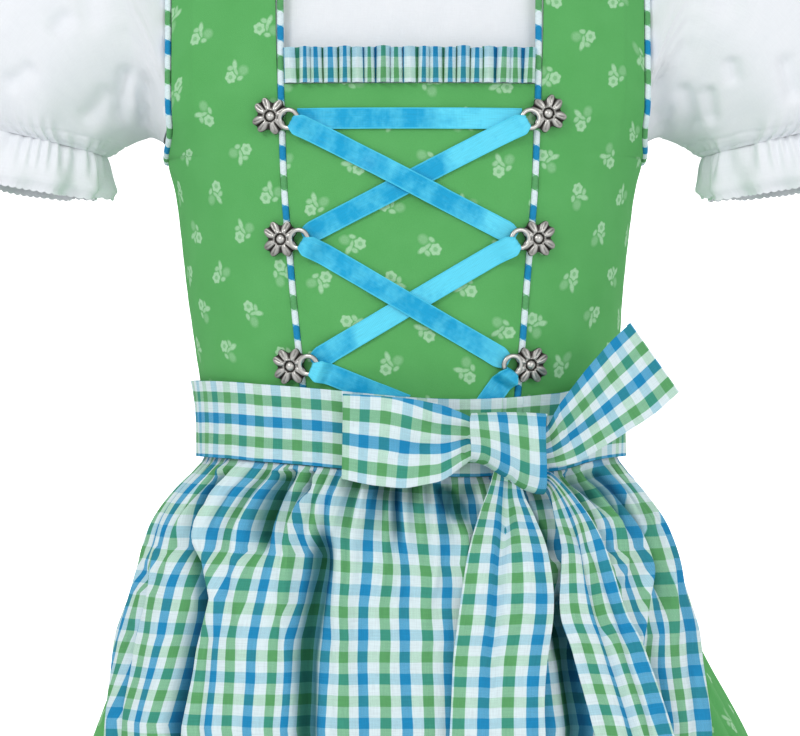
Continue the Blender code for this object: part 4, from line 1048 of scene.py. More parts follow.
def old_silver(name):
    """Cast hook metal, bright on its high places and tarnished in its grooves."""
    made = Finish(name, Metallic=1.0)
    depth = made.node("Attribute", dict(attribute_name="depth"), None, 2)
    place = made.node("TexCoord", None, None, 3)
    cloud = made.noise(place, 420.0, 4.0)
    bright = ((depth - SILVER_LOW) / (SILVER_HIGH - SILVER_LOW) + (cloud - 0.5) * 0.5).clamped()
    colour = made.blend(bright, SILVER_DARK, SILVER_BRIGHT)
    return made.wear(colour, 0.52 - bright * 0.24, cloud + bright * 0.4, 0.05)


def thread(name):
    made = Finish(name, Specular_IOR_Level=0.3)
    across, along = made.lay()
    twist = (along * 9 + across * 5).wave() * 0.5 + 0.5
    return made.wear(made.blend(twist, THREAD_DARK, THREAD_LIGHT), 0.7, twist, 0.08)


def backdrop(name, colour, **light):
    made = Finish(name, Roughness=0.9, **light)
    place = made.node("TexCoord", None, None, 3)
    cloud = made.noise(place, 3.0, 3.0)
    return made.wear(made.toned(colour, cloud * 0.02 + 0.99), 0.9, cloud, 0.2)


# each finish, paired with a slot name that nothing here reads
CHECK = check("check_cloth", False), "check_cotton"
PIPED = check("check_cloth_cut_on_the_cross", True), "check_piping"
GREEN = flowered("flowered_cloth"), "flowered_cotton"
COTTON = white_cotton("white_lawn"), "white_cotton"
SATIN = satin("satin_lacing"), "satin_ribbon"
SILVER = old_silver("tarnished_silver"), "old_silver"
THREAD = thread("sewing_thread"), "flowered_cotton"

# ---- bodice ----


def side_angle(back):
    """The side seam, a little off 90 degrees so that the front and the back keep apart."""
    return 90.0 + (0.1 if back else -0.1)


def armhole_angle(z, x_edge, out, low, back=False):
    """Angle of an armhole's edge between its lowest point, at the side, and the height where the strap starts."""
    start = angle_of(x_edge, CHEST_TOP, out, back)
    bend = 1 - math.sqrt(max(0.0, 1 - ((CHEST_TOP - z) / (CHEST_TOP - low)) ** 2))
    return mix(start, side_angle(back), bend)


def armhole(a, edge, low, out, side):
    """A point of the loop round an armhole: a is 0 on the shoulder, 90 in front, 180 under the arm, 270 behind."""
    back = a > 180
    if a <= 90 or a >= 270:
        point = over_shoulder(edge, 90 - a if a <= 90 else 450 - a, out)
    else:
        z = CHEST_TOP - (CHEST_TOP - low) * math.sin(math.radians(270 - a if back else a - 90))
        t = 90.0 if a == 180 else armhole_angle(z, edge, out, low, back)
        point = ring_point(t, z, out)
    point.x *= side
    return point


def panel_rows(bottom, low, neck_low=None):
    """The net's rows from the bottom to the shoulder: heights below CHEST_TOP, then turns over the shoulder."""
    heights = [bottom] + [z for z in SIDE_ROWS if bottom + 8 < z < low - 1] + [low]
    heights += [CHEST_TOP - (CHEST_TOP - low) * math.cos(math.radians(30 * k)) for k in (1, 2, 3)]
    turns = STRAP_TURNS
    if neck_low is not None:
        first = turn_at(0.0, neck_low, 0.0)
        turns = [first, first + 3.0, first + 8.5] + [t for t in STRAP_TURNS if t > first + 14]
    return [("height", z) for z in heights] + [("turn", t) for t in turns]


def panel(rows, columns, out, inner_x, x_edge, back, side):
    """The net of half a front or back from its inner edge, inner_x(z) from the middle, to the armhole."""
    low = next(z for kind, z in rows if kind == "height" and z in (ARMHOLE_LOW, BLOUSE_LOW))
    start = angle_of(x_edge, CHEST_TOP, out, back)
    middle = 180.0 if back else 0.0
    fan = mix(start, middle, 0.12)  # up to this angle the net's lines run straight up to the shoulder

    def column_angle(u, inner, outer):
        k = u * columns
        if k <= columns - FAN_COLUMNS:
            return mix(inner, fan, k / (columns - FAN_COLUMNS))
        return mix(fan, outer, 1 - (columns - k) / FAN_COLUMNS)

    def surface(u, v):
        u = u if (side > 0) != back else 1 - u
        kind, value = rows[round(v * (len(rows) - 1))]
        if kind == "height":
            z = value
            outer = armhole_angle(z, x_edge, out, low, back) if z > low else side_angle(back)
            if rows[0][1] == WAIST_SEAM and not back:
                x = ring_point(column_angle(u, angle_of(inner_x(z), z, out, back), outer), z, out).x
                z -= dip(side * x) * max(0.0, (value - low) / (WAIST_SEAM - low))
            point = ring_point(column_angle(u, angle_of(inner_x(z), z, out, back), outer), z, out)
        else:
            height = mix(CHEST_TOP, 0.0, math.sin(math.radians(value)))
            first = angle_of(inner_x(CHEST_TOP), CHEST_TOP, out, back)
            x0 = ring_point(column_angle(u, first, start), CHEST_TOP, out).x
            share = (x0 - inner_x(CHEST_TOP)) / (x_edge - inner_x(CHEST_TOP))
            x = mix(inner_x(height), x_edge, share)
            point = over_shoulder(x, 180 - value if back else value, out)
        point.x *= side
        return point

    return net(surface, columns, len(rows) - 1)


def round_neck(half, low, least):
    """Inner edge of a panel with a round neckline: distance from the middle at a height."""
    return lambda z: max(least, half * math.sqrt(1 - min(1.0, max(0.0, z / low)) ** 2))


def beside(z):
    """The inner edge of the front side panels and straps."""
    return read(PRINCESS, "x", z) + PIPING_R + SEAM


def panel_lay(points, inner_last, start=0.0):
    """Where a panel lies on its flat cloth: across from its inner edge, and up from the waist along its middle."""
    across = way_along(points, 1)
    across = across - across[:, -1:] if inner_last else across
    up = way_along(points, 0)
    middle = up[:, [up.shape[1] * 2 // 3 if inner_last else up.shape[1] // 3]]
    return lay_of(across + start, 0.35 * up + 0.65 * middle)


def bodice():
    def front(u, v):
        z = mix(WAIST_SEAM, FRONT_TOP, v)
        z -= dip(mix(-48, 48, u)) * max(0.0, 1 - v * 1.27)
        half = read(PRINCESS, "x", z) - PIPING_R - SEAM
        return front_point(mix(-half, half, u), z, BODICE_OUT)

    centre = net(front, 72, 84)
    place = centre[..., ::2]
    centre = creased(centre, place, FRONT_PANEL_CREASES)
    lay = lay_of(place[..., 0], way_along(centre, 0)[:, 36:37])
    sew("bodice_centre", centre, lay, GREEN, ["bodice_front_centre"], "stretched")

    neck = round_neck(beside(0.0), BACK_NECK_LOW, SEAM / 2)
    front_rows = panel_rows(WAIST_SEAM, ARMHOLE_LOW)
    back_rows = panel_rows(WAIST_SEAM, ARMHOLE_LOW, BACK_NECK_LOW)
    for side, name in SIDES:
        points = finer(panel(front_rows, 5, BODICE_OUT, beside, STRAP_OUTER, False, side), 9, 7)
        place = points[..., ::2]
        lay = panel_lay(points, side < 0, FRONT_LAY * side)
        points = creased(points, place, mirrored(SIDE_PANEL_CREASES, side))
        points += face_out(points) * (armhole_ease(lay, side))[..., None]
        sew(
            f"bodice_side_{name}", points, lay, GREEN,
            [f"bodice_front_side_{name}"], "stretched",
        )
        points = finer(panel(back_rows, 7, BODICE_OUT, neck, STRAP_OUTER, True, side), 8, 6)
        lay = panel_lay(points, side > 0, BACK_LAY * side)
        points = creased(points, points[..., ::2], mirrored(BACK_PANEL_CREASES, side))
        sew(
            f"bodice_back_half_{name}", points, lay, GREEN,
            [f"bodice_back_{name}"], "stretched",
        )


def armhole_ease(lay, side):
    """Small unevenness of a strap where its seam is eased onto the piping."""
    up = lay[..., 1]
    return 0.22 * np.sin(up / 5.3 + 1.7 * side) * np.sin(up / 3.1) * 0.5


def neck_frill():
    """The pleated strip of check cloth that stands above the centre front panel."""
    count = len(FRILL_PLEATS)
    total = sum(FRILL_PLEATS)
    starts = np.cumsum([0, *FRILL_PLEATS]) / total

    def surface(u, v):
        z = mix(FRONT_TOP + SEAM, FRILL_TOP, v)
        half = read(PRINCESS, "x", z) - PIPING_R - SEAM
        k = min(count - 1, int(np.searchsorted(starts, u, side="right")) - 1)
        share = (u - starts[k]) / (starts[k + 1] - starts[k])
        wave = (0.5 - 0.5 * math.cos(2 * math.pi * share)) ** 0.3
        slant = (0.3 * math.sin(2 * math.pi * share) + uneven(k, 0.35)) * FRILL_PITCH * 0.35 * mix(0.5, 1, v)
        x = mix(-half, half, u) + slant * smooth(min(u, 1 - u), 0.0, 0.03)
        high = FRILL_HIGH * mix(0.8, 1.0, v) * (1 + uneven(k, 0.25))
        top = uneven(k + 3, 0.5) * v
        return front_point(x, z + top, BODICE_OUT - 0.2 + high * wave)

    def even(u):
        k = u * count
        k = math.floor(k) + k % 1 - 0.13 * math.sin(2 * math.pi * k)
        return float(np.interp(k, range(count + 1), starts))

    points = net(lambda u, v: surface(even(u), v), FRILL_STEPS * count, 10)
    pleat = np.arange(FRILL_STEPS * count + 1) / FRILL_STEPS
    pleat = pleat - 0.13 * np.sin(2 * math.pi * pleat)
    steps = [CHECK_REPEAT if a == b else 0.75 * CHECK_REPEAT for a, b in zip(FRILL_SHOWN, FRILL_SHOWN[1:])]
    middles = BLUE_AT + CHECK_REPEAT / 4 + np.cumsum([0, *steps])
    reach = np.array([CHECK_REPEAT / 4.6 if shown != "W" else CHECK_REPEAT / 9 for shown in FRILL_SHOWN])
    between = (middles[:-1] + reach[:-1] + middles[1:] - reach[1:]) / 2
    edges = np.concatenate(([0], between, [middles[-1] + CHECK_REPEAT / 3]))
    at = np.add.outer(np.arange(count), (0, 0.06, 0.94)).ravel()
    where = np.stack((edges[:-1], middles - reach, middles + reach), 1).ravel()
    laid = np.interp(pleat, [*at, count], [*where, edges[-1]])
    lay = lay_of(laid[None, :], way_along(points, 0)[:, :1] + FRILL_RISE)
    sew("frill_at_neck", points, lay, CHECK, ["neck_frill"], "gathered")


def neck_line(rows, edge_at, out, sit, back, gap=PIPING_R + SEAM):
    """A cord's line that keeps its gap to the neck edge of a panel, from the middle up to the row before the last."""
    edge = []
    for kind, turn in rows:
        if kind == "turn":
            x = edge_at(mix(CHEST_TOP, 0.0, math.sin(math.radians(turn)))) if edge else 0.0
            edge.append(Vector((x, over_shoulder(x, turn, out).z)))
    edge.insert(0, Vector((-edge[1].x, edge[1].y)))
    line = []
    for before, here, after in zip(edge, edge[1:], edge[2:]):
        one, two = (here - before).normalized(), (after - here).normalized()
        mitre = (Vector((-one.y, one.x)) + Vector((-two.y, two.x))).normalized()
        moved = here + mitre * gap / max(0.5, mitre.dot(Vector((-one.y, one.x))))
        turn = turn_at(moved.x, moved.y, sit)
        line.append(over_shoulder(moved.x, 180 - turn if back else turn, sit))
    return line


def smooth_line(line, parts, closed=False):
    line = np.array([tuple(p) for p in line], float)
    if closed:
        line = np.vstack((line, line[:1]))
    line = np.einsum("ri,ij->rj", through(len(line), parts, closed), line)
    return line[:-1] if closed else line


def piping():
    """Covered cord in the seams beside the front panel and round the armholes."""
    back_rows = panel_rows(WAIST_SEAM, ARMHOLE_LOW, BACK_NECK_LOW)
    sit = BODICE_OUT - WALL / 2 + PIPING_PROUD
    for side, name in SIDES:
        heights = [mix(WAIST_SEAM + 8, CHEST_TOP, k / 9) for k in range(10)]
        line = [front_point(read(PRINCESS, "x", z), z, sit) for z in heights]
        line += [over_shoulder(mix(58.2, 60.0, k / 6), 15.0 * k, sit) for k in range(1, 7)]
        neck = round_neck(read(PRINCESS, "x", 0.0) + PIPING_R + SEAM, BACK_NECK_LOW, 0.0)
        behind = neck_line(back_rows, neck, BODICE_OUT, sit, True)
        behind[0].x = PIPING_R + SEAM
        line += reversed(behind)
        for point in line:
            point.x *= side
        edge = STRAP_OUTER + SEAM + PIPING_R
        low = ARMHOLE_LOW + SEAM + PIPING_R
        loop = [armhole(15.0 * k, edge, low, sit, side) for k in range(6)]
        loop += [armhole(90 + 30.0 * k, edge, low, sit, side) for k in range(6)]
        loop += [armhole(270 + 15.0 * k, edge, low, sit, side) for k in range(6)]
        for place, points, closed in (("neck", line, False), ("armhole", loop, True)):
            points = leaned(smooth_line(points, 14, closed))
            facing = points * (0, 1, 1) + (0, 0, 90 if closed else -CHEST_TOP)
            facing[:, 2] = facing[:, 2] if closed else np.maximum(facing[:, 2], 0)
            facing = np.vstack((facing, facing[:1])) if closed else facing
            mesh = meshed(f"cord_{place}_{name}", [rolled(points, PIPING_SHOWN, 12, facing, closed)])
            finished(f"cord_{place}_{name}", mesh, PIPED, [f"piping_{place}_{name}"])


# ---- lacing ----


def flower_form(turn, share):
    """The cast flower, round its centre: reach and height at an angle and a share of the way from its middle."""
    quarter = math.degrees(turn) % 90
    around = (-PETAL_AT, PETAL_AT, 90 - PETAL_AT, 90 + PETAL_AT)
    petals = sum(math.exp(-(((quarter - a) / PETAL_WIDE) ** 2)) for a in around)
    reach = FLOWER_R * mix(FLOWER_WAIST, 1, min(1.0, petals)) * share
    high = 0.8 + 1.15 * math.sin(math.pi * min(1.0, 0.12 + 0.80 * share)) ** 0.6
    # the grooves between petals, and the vein along each
    groove = math.exp(-(((quarter - 45) / 5.5) ** 2)) + math.exp(-((min(quarter, 90 - quarter) / 8.0) ** 2))
    vein = sum(math.exp(-(((quarter - a) / 3.2) ** 2)) for a in (PETAL_AT, 90 - PETAL_AT))
    high -= 0.95 * groove * smooth(reach, 2.6, 3.6)
    high -= 0.35 * vein * smooth(reach, 4.0, 5.4) * (1 - smooth(share, 0.86, 0.95))
    # the channel round the middle, the beads outside it and the button inside
    high -= 1.0 * math.exp(-(((reach - 2.35) / 0.42) ** 2))
    high += 0.25 * math.cos(16 * turn) * math.exp(-(((reach - 3.3) / 0.5) ** 2))
    if reach < BUTTON_R:
        high = max(high, 0.9 + 1.5 * math.sqrt(max(0.0, 1 - (reach / BUTTON_R) ** 2)))
    return reach, high


def cast_hook():
    """The flower, lying flat with its back at z = 0, and its ring beside it on +x, as mesh parts."""
    rows = [(0.02, 0.0), (0.6, 0.0), (0.97, 0.0), (1.0, 0.25), (1.0, 0.55), (0.985, 0.8)]  # back and rim
    rows += [((1 - k / FLOWER_STEPS) * 0.96 + 0.02, None) for k in range(FLOWER_STEPS + 1)]  # front
    flower = []
    for share, low in rows:
        flower.append([])
        for turn in np.linspace(0, 2 * math.pi, 129):
            reach, high = flower_form(turn, share)
            high = high if low is None else high * low * 0.9
            flower[-1].append((reach * math.cos(turn), reach * math.sin(turn), high))
    half, centre = (RING_R - RING_HOLE_R) / 2 + 0.1, (RING_R + RING_HOLE_R) / 2
    ring = []
    for a in np.linspace(0, 2 * math.pi, 17):
        reach, high = centre + half * math.cos(a), 1.15 + half * 0.92 * math.sin(a)
        circle = np.linspace(0, 2 * math.pi, 65)
        ring.append([(HOOK_REACH + reach * math.cos(b), reach * math.sin(b), high) for b in circle])
    flower, ring = np.array(flower), np.array(ring)
    return [skin(flower, flower[..., :2]), skin(ring, ring[..., :2], True)]


def hooks():
    parts = cast_hook()
    for row in HOOKS:
        for side, name in SIDES:
            flower_x = side * (row["x"] + HOOK_REACH * 0.96)
            seat = front_point(side * row["x"], row["z"], HOOK_LIFT)
            place = front_point(flower_x, row["z"], HOOK_LIFT)
            out = (front_normal(side * row["x"], row["z"], 0) + front_normal(flower_x, row["z"], 0)).normalized()
            to_ring = (seat - place).normalized()
            out = (out - to_ring * out.dot(to_ring)).normalized()
            turn = Matrix.Rotation(math.radians(row["tilt"][side > 0]), 3, out)
            place = seat + turn @ (place - seat)
            turn = turn @ Matrix((to_ring, out.cross(to_ring), out)).transposed()
            mesh = meshed(f"cast_hook_{row['row']}_{name}", parts)
            obj = finished(mesh.name, mesh, SILVER)
            tone = mesh.color_attributes.new("depth", "FLOAT_COLOR", "POINT")
            levels = np.repeat(np.array([v.co.z for v in mesh.vertices])[:, None] / (3.0 * MM), 4, 1)
            tone.data.foreach_set("color", levels.ravel())
            middle = leaned(np.array([tuple(place)]))[0]
            obj.matrix_world = Matrix.Translation((Vector(middle) + out * 0.3) * MM) @ turn.to_4x4()
            bpy.context.view_layer.update()
            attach(obj, "root")
            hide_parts(f"hook_{row['row']}_{name}")
            sewing = []
            for a in HOOK_THREADS:
                foot = turn @ (Vector((math.cos(math.radians(a)), math.sin(math.radians(a)), 0)) * HOOK_THREAD_AT)
                low, top = Vector(middle) + foot - out * 1.2, Vector(middle) + foot * 0.9 + out * 0.6
                sewing.append(rolled([low, (low + top) / 2, top], HOOK_THREAD_R, 6))
            knots = meshed(f"hook_threads_{row['row']}_{name}", sewing)
            finished(knots.name, knots, THREAD)


def lace_run(name, start, end, over, leave=True, arrive=True, clear=0.0, fall=9.0, twist=0.0, begin=0.0):
    """One run of the ribbon between two rings. start and end are (x, z); over lifts it above the run that it crosses.

    It leaves the first ring through its hole and over its rim, and it goes under the rim of the last one.
    clear is how far it stays above the bar between the top rings; past the rim it comes down within fall.
    twist shifts its small unevenness, and begin is where it lies along the ribbon's finish, which places its painted
    sheen along it."""
    length = (Vector(end) - Vector(start)).length
    along = (Vector(end) - Vector(start)) / length
    across = Vector((-along.y, along.x))
    low = BODICE_OUT + 0.4 + LACE_THICK  # on the cloth
    top = HOOK_LIFT + HOOK_THICK + 1.6 + LACE_THICK  # on the ring's rim
    rim = RING_R + 0.5

    def lift(s):
        high = low + (LACE_THICK + 0.6 if over else 0.0) * (1 - smooth(abs(s - length / 2), 13, 22))
        if leave:
            high = mix(high, low + LACE_THICK + 0.5, 1 - smooth(s, clear, clear + 8))
            high = mix(high, top, smooth(s, 1.6, 3.2) * (1 - smooth(s, rim + 0.5, rim + fall)))
        return high

    def half_width(s):
        half = LACE_WIDE / 2
        if leave:
            half = mix(LACE_PINCHED, half, smooth(s, 2.2, rim + 1.2))
        if arrive:
            half = mix(LACE_PINCHED + 0.1, half, smooth(length - s, 1.0, rim + 2.0))
        return half

    first = 2.1 if leave else 0.0
    last = length - (2.4 if arrive else 0.0)

    def surface(u, v):
        s = mix(first, last, u**1.35 if leave else u)
        half = half_width(s)
        place = Vector(start) + along * s + across * mix(-1, 1, v) * half
        base = front_point(place.x, place.y, 0.0)
        pinched = 1 - half / (LACE_WIDE / 2)
        crumple = 0.7 * pinched * math.cos(math.pi * 5 * v) + LACE_CURL * (2 * v - 1) ** 2
        crumple += 0.16 * math.sin(s / 5.1 + twist) * math.sin(math.pi * v + 0.6 * s / 9)
        return base + front_normal(place.x, place.y, 0.0) * (lift(s) + crumple)

    points = net(surface, 84, 10)
    lay = lay_of(way_along(points, 1)[5:6] + begin, np.linspace(0, LACE_WIDE, 11)[:, None])
    sew(f"ribbon_{name}", points, lay, SATIN, [f"lace_{name}"], None, thick=RIBBON_THICK)


def lacing():
    ring = {(row["row"], side): (side * row["x"], row["z"]) for row in HOOKS for side in (-1, 1)}
    bar, z = HOOKS[0]["x"] - BAR_INSET, HOOKS[0]["z"]
    # each run's begin places its painted sheen: lighter stretches at chosen parts of the run
    lace_run("bar", (-bar, z), (bar, z), False, False, False, begin=1652)
    lace_run("upper_over", ring["top", -1], ring["middle", 1], True, clear=24, twist=0.4, begin=214)
    lace_run("upper_under", ring["top", 1], ring["middle", -1], False, clear=24, twist=2.1, begin=578)
    lace_run("lower_over", ring["middle", -1], ring["low", 1], True, twist=3.3, begin=1016)
    lace_run("lower_under", ring["middle", 1], ring["low", -1], False, twist=4.6, begin=1325)
    lace_run("end_right", ring["low", -1], LACE_END_RIGHT, False, arrive=False, fall=5.0, twist=5.2, begin=1808)
    lace_run("end_left", ring["low", 1], LACE_END_LEFT, False, arrive=False, fall=5.0, twist=1.3, begin=2028)


# ---- skirt and apron ----


def skirt_level(k, rows):
    """Heights shared by the skirt's and the apron's nets, closer together near the band; k is 0 at the top."""
    return mix(BAND_TOP - BAND_HIGH - SEAM, APRON_HEM, (k / rows) ** 1.6)


def skirt_point(t, level, extra):
    """A point outside the skirt's mean form. Near the band the level lines follow the band's dip."""
    point = ring_point(t, level, 0.0, SKIRT, extra)
    if abs(t) < 90:
        point.z -= dip(point.x) * (1 - smooth(-level, 320, 400))
    return point


def skirt_net(turns, levels, high):
    """The points that lie high outside the skirt's mean form at a net of angles, row by row."""
    rows = zip(levels, turns, high)
    return np.array([[tuple(skirt_point(t, z, up)) for t, up in zip(turn, ups)] for z, turn, ups in rows])


def fold_wave(share, count):
    """Folds and gathers at a share of the way round: both from 0 in a valley to 1 on a crest, unevenly spaced."""
    ends = np.minimum(1.0, 4 * count * share * (1 - share))
    place = count * share + 0.16 * np.sin(5.1 * share * count / 6) * ends
    gather = 0.5 - 0.5 * np.cos(2 * math.pi * place)
    fold = 0.5 - 0.5 * np.cos(math.pi * place + 0.5 * np.sin(2.3 * share * count / 4) * ends)
    return fold, gather


def apron_place(c, level):
    """Angle at which a place c, of 340 across the apron, lies at a level."""
    right, left = read(APRON_SIDES, "right", level), read(APRON_SIDES, "left", level)
    return c / APRON_CLOTH * (right + left) - right


def apron_laid(c, level):
    """Which place across the flat cloth lies at c, of 340, at a level."""
    heights = sorted(APRON_LAID)
    here = [np.interp(level, heights, [APRON_LAID[z][k] for z in heights]) for k in range(len(APRON_CUT))]
    return np.interp(c, here, APRON_CUT)


def gathers(share, below, count, high, long, seed):
    """Fine uneven gathers where a skirt is sewn to its band: each runs down its own length and fades."""
    total = np.zeros(np.broadcast(share, below).shape)
    for k in range(count):
        at = (k + 0.5 + uneven(k + seed, 0.42)) / count
        tall = high * (1 + uneven(3 * k + seed, 0.45))
        reach = long * (1 + uneven(7 * k + seed, 0.85))
        drift = uneven(5 * k + seed, 0.012) * smooth(below, 0, 120)
        total += tall * np.exp(-(((share - at - drift) * count / 0.3) ** 2)) * (1 - smooth(below, 0.25 * reach, reach))
    return total


def skirt():
    behind_way = 360 - 2 * SKIRT_FREE
    back_columns, front_columns = 300, 40
    top = WAIST_SEAM - 3 * SEAM
    seam = skirt_level(0, 1)
    levels = np.concatenate((seam + (SKIRT_HEM - seam) * np.linspace(1, 0, 62) ** 1.25, [mix(seam, top, 0.5), top]))
    k = np.arange(back_columns + front_columns + 1)
    share = np.clip((k - front_columns) / back_columns, 0, 1)
    t = np.where(k <= front_columns, mix(-SKIRT_FREE, SKIRT_FREE, k / front_columns), SKIRT_FREE + behind_way * share)
    turned = np.where(t <= 180, t, t - 360)
    behind = (k > front_columns).astype(float)[None, :]
    fold, gather = (part[None, :] * behind for part in fold_wave(share, SKIRT_GATHERS))
    level, below = levels[:, None], seam - levels[:, None]
    high = SKIRT_FOLD_HIGH * fold * mix(0.35, 1, smooth(-level, 330, 430))
    high = high + SKIRT_GATHER_HIGH * gather * mix(1, 0.25, smooth(-level, 340, 500))
    high = high + gathers(share[None, :], below, **SKIRT_GATHERING) * behind * smooth(below, 0, 5)
    place = lay_of(t[None, :] * 2.2, level)
    high = high + sum(crease(place, *row) for row in SKIRT_CREASES) * smooth(below, 6, 60)
    edge = np.where(turned[None, :] < 0, read(APRON_SIDES, "right", level), read(APRON_SIDES, "left", level))
    free = smooth(np.abs(turned)[None, :], edge - 1, edge + 7)
    under = -UNDER_APRON * mix(0.45, 1.0, smooth(-level, 312, 345)) * smooth(-level, 299, 311)
    extra = mix(under, (high - 4.0) * smooth(-level, 312, 345), free)
    points = skirt_net(np.broadcast_to(turned, extra.shape), levels, extra)
    lay = lay_of((t * SKIRT_CLOTH / 360)[None, :], way_along(points, 0)[:, 60:61])
    points += face_out(points, True) * hem_line(lay[..., 1], lay[0, 0, 1], 22.0, 0.5)[..., None]
    sew("green_skirt", points, lay, GREEN, ["skirt"], "gathered", ring=True)


def under_knot(x, z):
    """1 where the knot presses the apron flat, 0 away from it."""
    return np.exp(-(((x - KNOT["x"]) / 24) ** 2)) * (1 - smooth(-z, 328, 352))


def apron():
    columns, rows = 400, 90
    seam = skirt_level(0, 1)
    levels = seam + (APRON_HEM - seam) * np.linspace(1, 0, rows + 1) ** 1.3
    share, level, below = np.linspace(0, 1, columns + 1)[None, :], levels[:, None], (seam - levels)[:, None]
    place = lay_of(share * APRON_CLOTH, level)
    turn = apron_place(share * APRON_CLOTH, level)
    mean = skirt_net(turn, levels, np.full(turn.shape, 6.0))
    high = mix(APRON_LIFT_TOP, APRON_LIFT, smooth(below, 2, 16)) + APRON_BODY * smooth(below, 1, 34)
    fine = gathers(share, below, **APRON_GATHERING) * smooth(below, -1, 5)
    pressed = [crease(place, *row) for row in APRON_FOLDS]
    high = high + fine + sum(pressed) * smooth(below, -2, 9)
    # painted shade: the mask of where the apron's colour is darkened, deep in its pressed folds and between the gathers
    # below the band
    trough = sum(np.maximum(-one, 0) for one in pressed) * smooth(below, 1, 8)
    between = PAINTED_SHADE_BETWEEN_GATHERS * (1 - smooth(fine, 0.2, 2.2)) * smooth(below, 1, 6) * (1 - smooth(below, 10, 42))
    folded = np.clip(smooth(trough, 2.5, 9.5) + between, 0, 1)
    right, left = (np.interp(below, *zip(*APRON_SIDE_REACH[side])) for side in ("right", "left"))
    reach = np.where(turn < 0, right, left) / APRON_HIGH
    high = high * mix(1.0, reach, smooth(np.abs(turn), *APRON_SIDE_TURNS))
    high = mix(high, np.minimum(high, APRON_LIFT_EDGE), smooth(np.abs(2 * share - 1), 0.955, 1.0))
    high = np.clip(high, APRON_LOW, APRON_HIGH)
    high = mix(high, np.minimum(high, 4.5), 0.8 * under_knot(mean[..., 0], mean[..., 2]))
    points = skirt_net(turn, levels, high)
    across = np.array([apron_laid(place[r, :, 0], z) for r, z in enumerate(levels)])
    down = way_along(mean[::-1], 0)[::-1][:, columns // 2][:, None]
    lay = lay_of(across, -(down * APRON_EASE + APRON_DROP))
    sides = np.minimum(across - across[:, :1], across[:, -1:] - across)
    stitched = hem_line(sides, 0.0, 4.6, 0.22) + hem_line(down, down[0, 0], 15.0, 0.4)
    points += face_out(points) * stitched[..., None]
    sew("check_apron", points, lay, CHECK, ["apron_skirt"], "gathered", folded=folded)


def band_point(t, v, out, top_share=1.0, low_share=0.0):
    z = BAND_TOP - BAND_HIGH * (1 - mix(low_share, top_share, v))
    point = ring_point(t, z, out)
    if math.cos(math.radians(t)) > 0:
        point.z -= dip(point.x)
    return point


def strip_lay(points, start):
    """Where a waist strip lies on its flat cloth: along from its left end, and down from its top edge."""
    along = way_along(points, 1)[points.shape[0] // 2][None, :]
    down = np.linspace(BAND_HIGH, 0, points.shape[0])[:, None]
    return lay_of(down + BAND_DROP, along + start)


def band_and_ties():
    """The apron's waistband and its two ties, which cross behind and come forward over the band."""
    points = net(lambda u, v: band_point(mix(-BAND_END, BAND_END, u), v, BAND_OUT), 200, 18)
    lay = strip_lay(points, 0.0)
    place = points[..., ::2]
    edges = np.abs(np.linspace(-1, 1, 19))[:, None]
    pull = 0.5 * np.sin(lay[..., 1] / 2.9) * np.sin(lay[..., 1] / 7.7 + 1) * smooth(edges, 0.45, 1.0)
    pull = pull - 0.5 * smooth(edges, 0.9, 1.0) + 0.5
    high = pull + sum(crease(place, *row) for row in BAND_CREASES)
    points += face_out(points) * high[..., None]
    sew("apron_waistband", points, lay, CHECK, ["apron_band"], "stretched")

    half_split = BACK_SPLIT / BAND_HIGH

    def tie(start, stop, upper):
        """start and stop are angles of increasing or falling t; upper says which tie crosses above."""

        def surface(u, v):
            t = mix(start, stop, u)
            bunch = (1 - smooth(abs(t - 180), 12, 45)) * (0.5 + half_split)
            way = abs(t - start)
            half = abs(180 - start)
            over = smooth(way, half - 12, half + 12)
            out = mix(BAND_OUT, TIE_OUT, over) if way > 0 else BAND_OUT
            top_share, low_share = (1.0, bunch) if upper else (1 - bunch, 0.0)
            point = band_point(t, v, out, top_share, low_share)
            wave = 0.9 * bunch * math.sin(math.pi * 5 * v + t / 14) + 0.25 * math.sin(t / 3.1) * (2 * v - 1) ** 2
            wave += 0.35 * math.sin(t / 11 + 2 * v)
            away = Vector((point.x, point.y, 0)).normalized()
            return point + away * (wave + 0.4)

        return surface

    knot_t = math.degrees(math.atan2(KNOT["x"], 74.0))
    first = tie(BAND_END + 0.3, 360 + knot_t - 3.0, True)
    second = tie(360 - BAND_END - 0.3, knot_t + 3.0, False)
    for name, surface in (("left", first), ("right", lambda u, v: second(1 - u, v))):
        points = net(surface, 240, 18)
        lay = strip_lay(points, TIE_START[name])
        sew(f"apron_tie_{name}", points, lay, CHECK, [f"tie_{name}"], "stretched")


# ---- bow ----


def bow_depth(x):
    """The plane, a little bent, in which the bow's loops lie: distance in front of the middle."""
    return chest_depth(min(max(x, -60.0), 45.0), -306.0, TIE_OUT) + 2.6


def rounded(table):
    """A loop's rows at 81 even steps from the knot to its fold, with their corners rounded off."""
    steps = np.linspace(0, 1, 81)
    at = [row["at"] for row in table]
    rows = np.array([[*row["top"], *row["low"], row["puff"]] for row in table])
    values = np.stack([np.interp(steps, at, rows[:, k]) for k in range(5)], 1)
    reach = 7
    before = 2 * values[:1] - values[reach:0:-1]
    after = 2 * values[-1:] - values[-2 : -reach - 2 : -1]
    longer = np.vstack((before, values, after))
    weight = np.hanning(2 * reach + 3)[1:-1]
    return steps, np.stack([np.convolve(longer[:, k], weight / weight.sum(), "valid") for k in range(5)], 1)


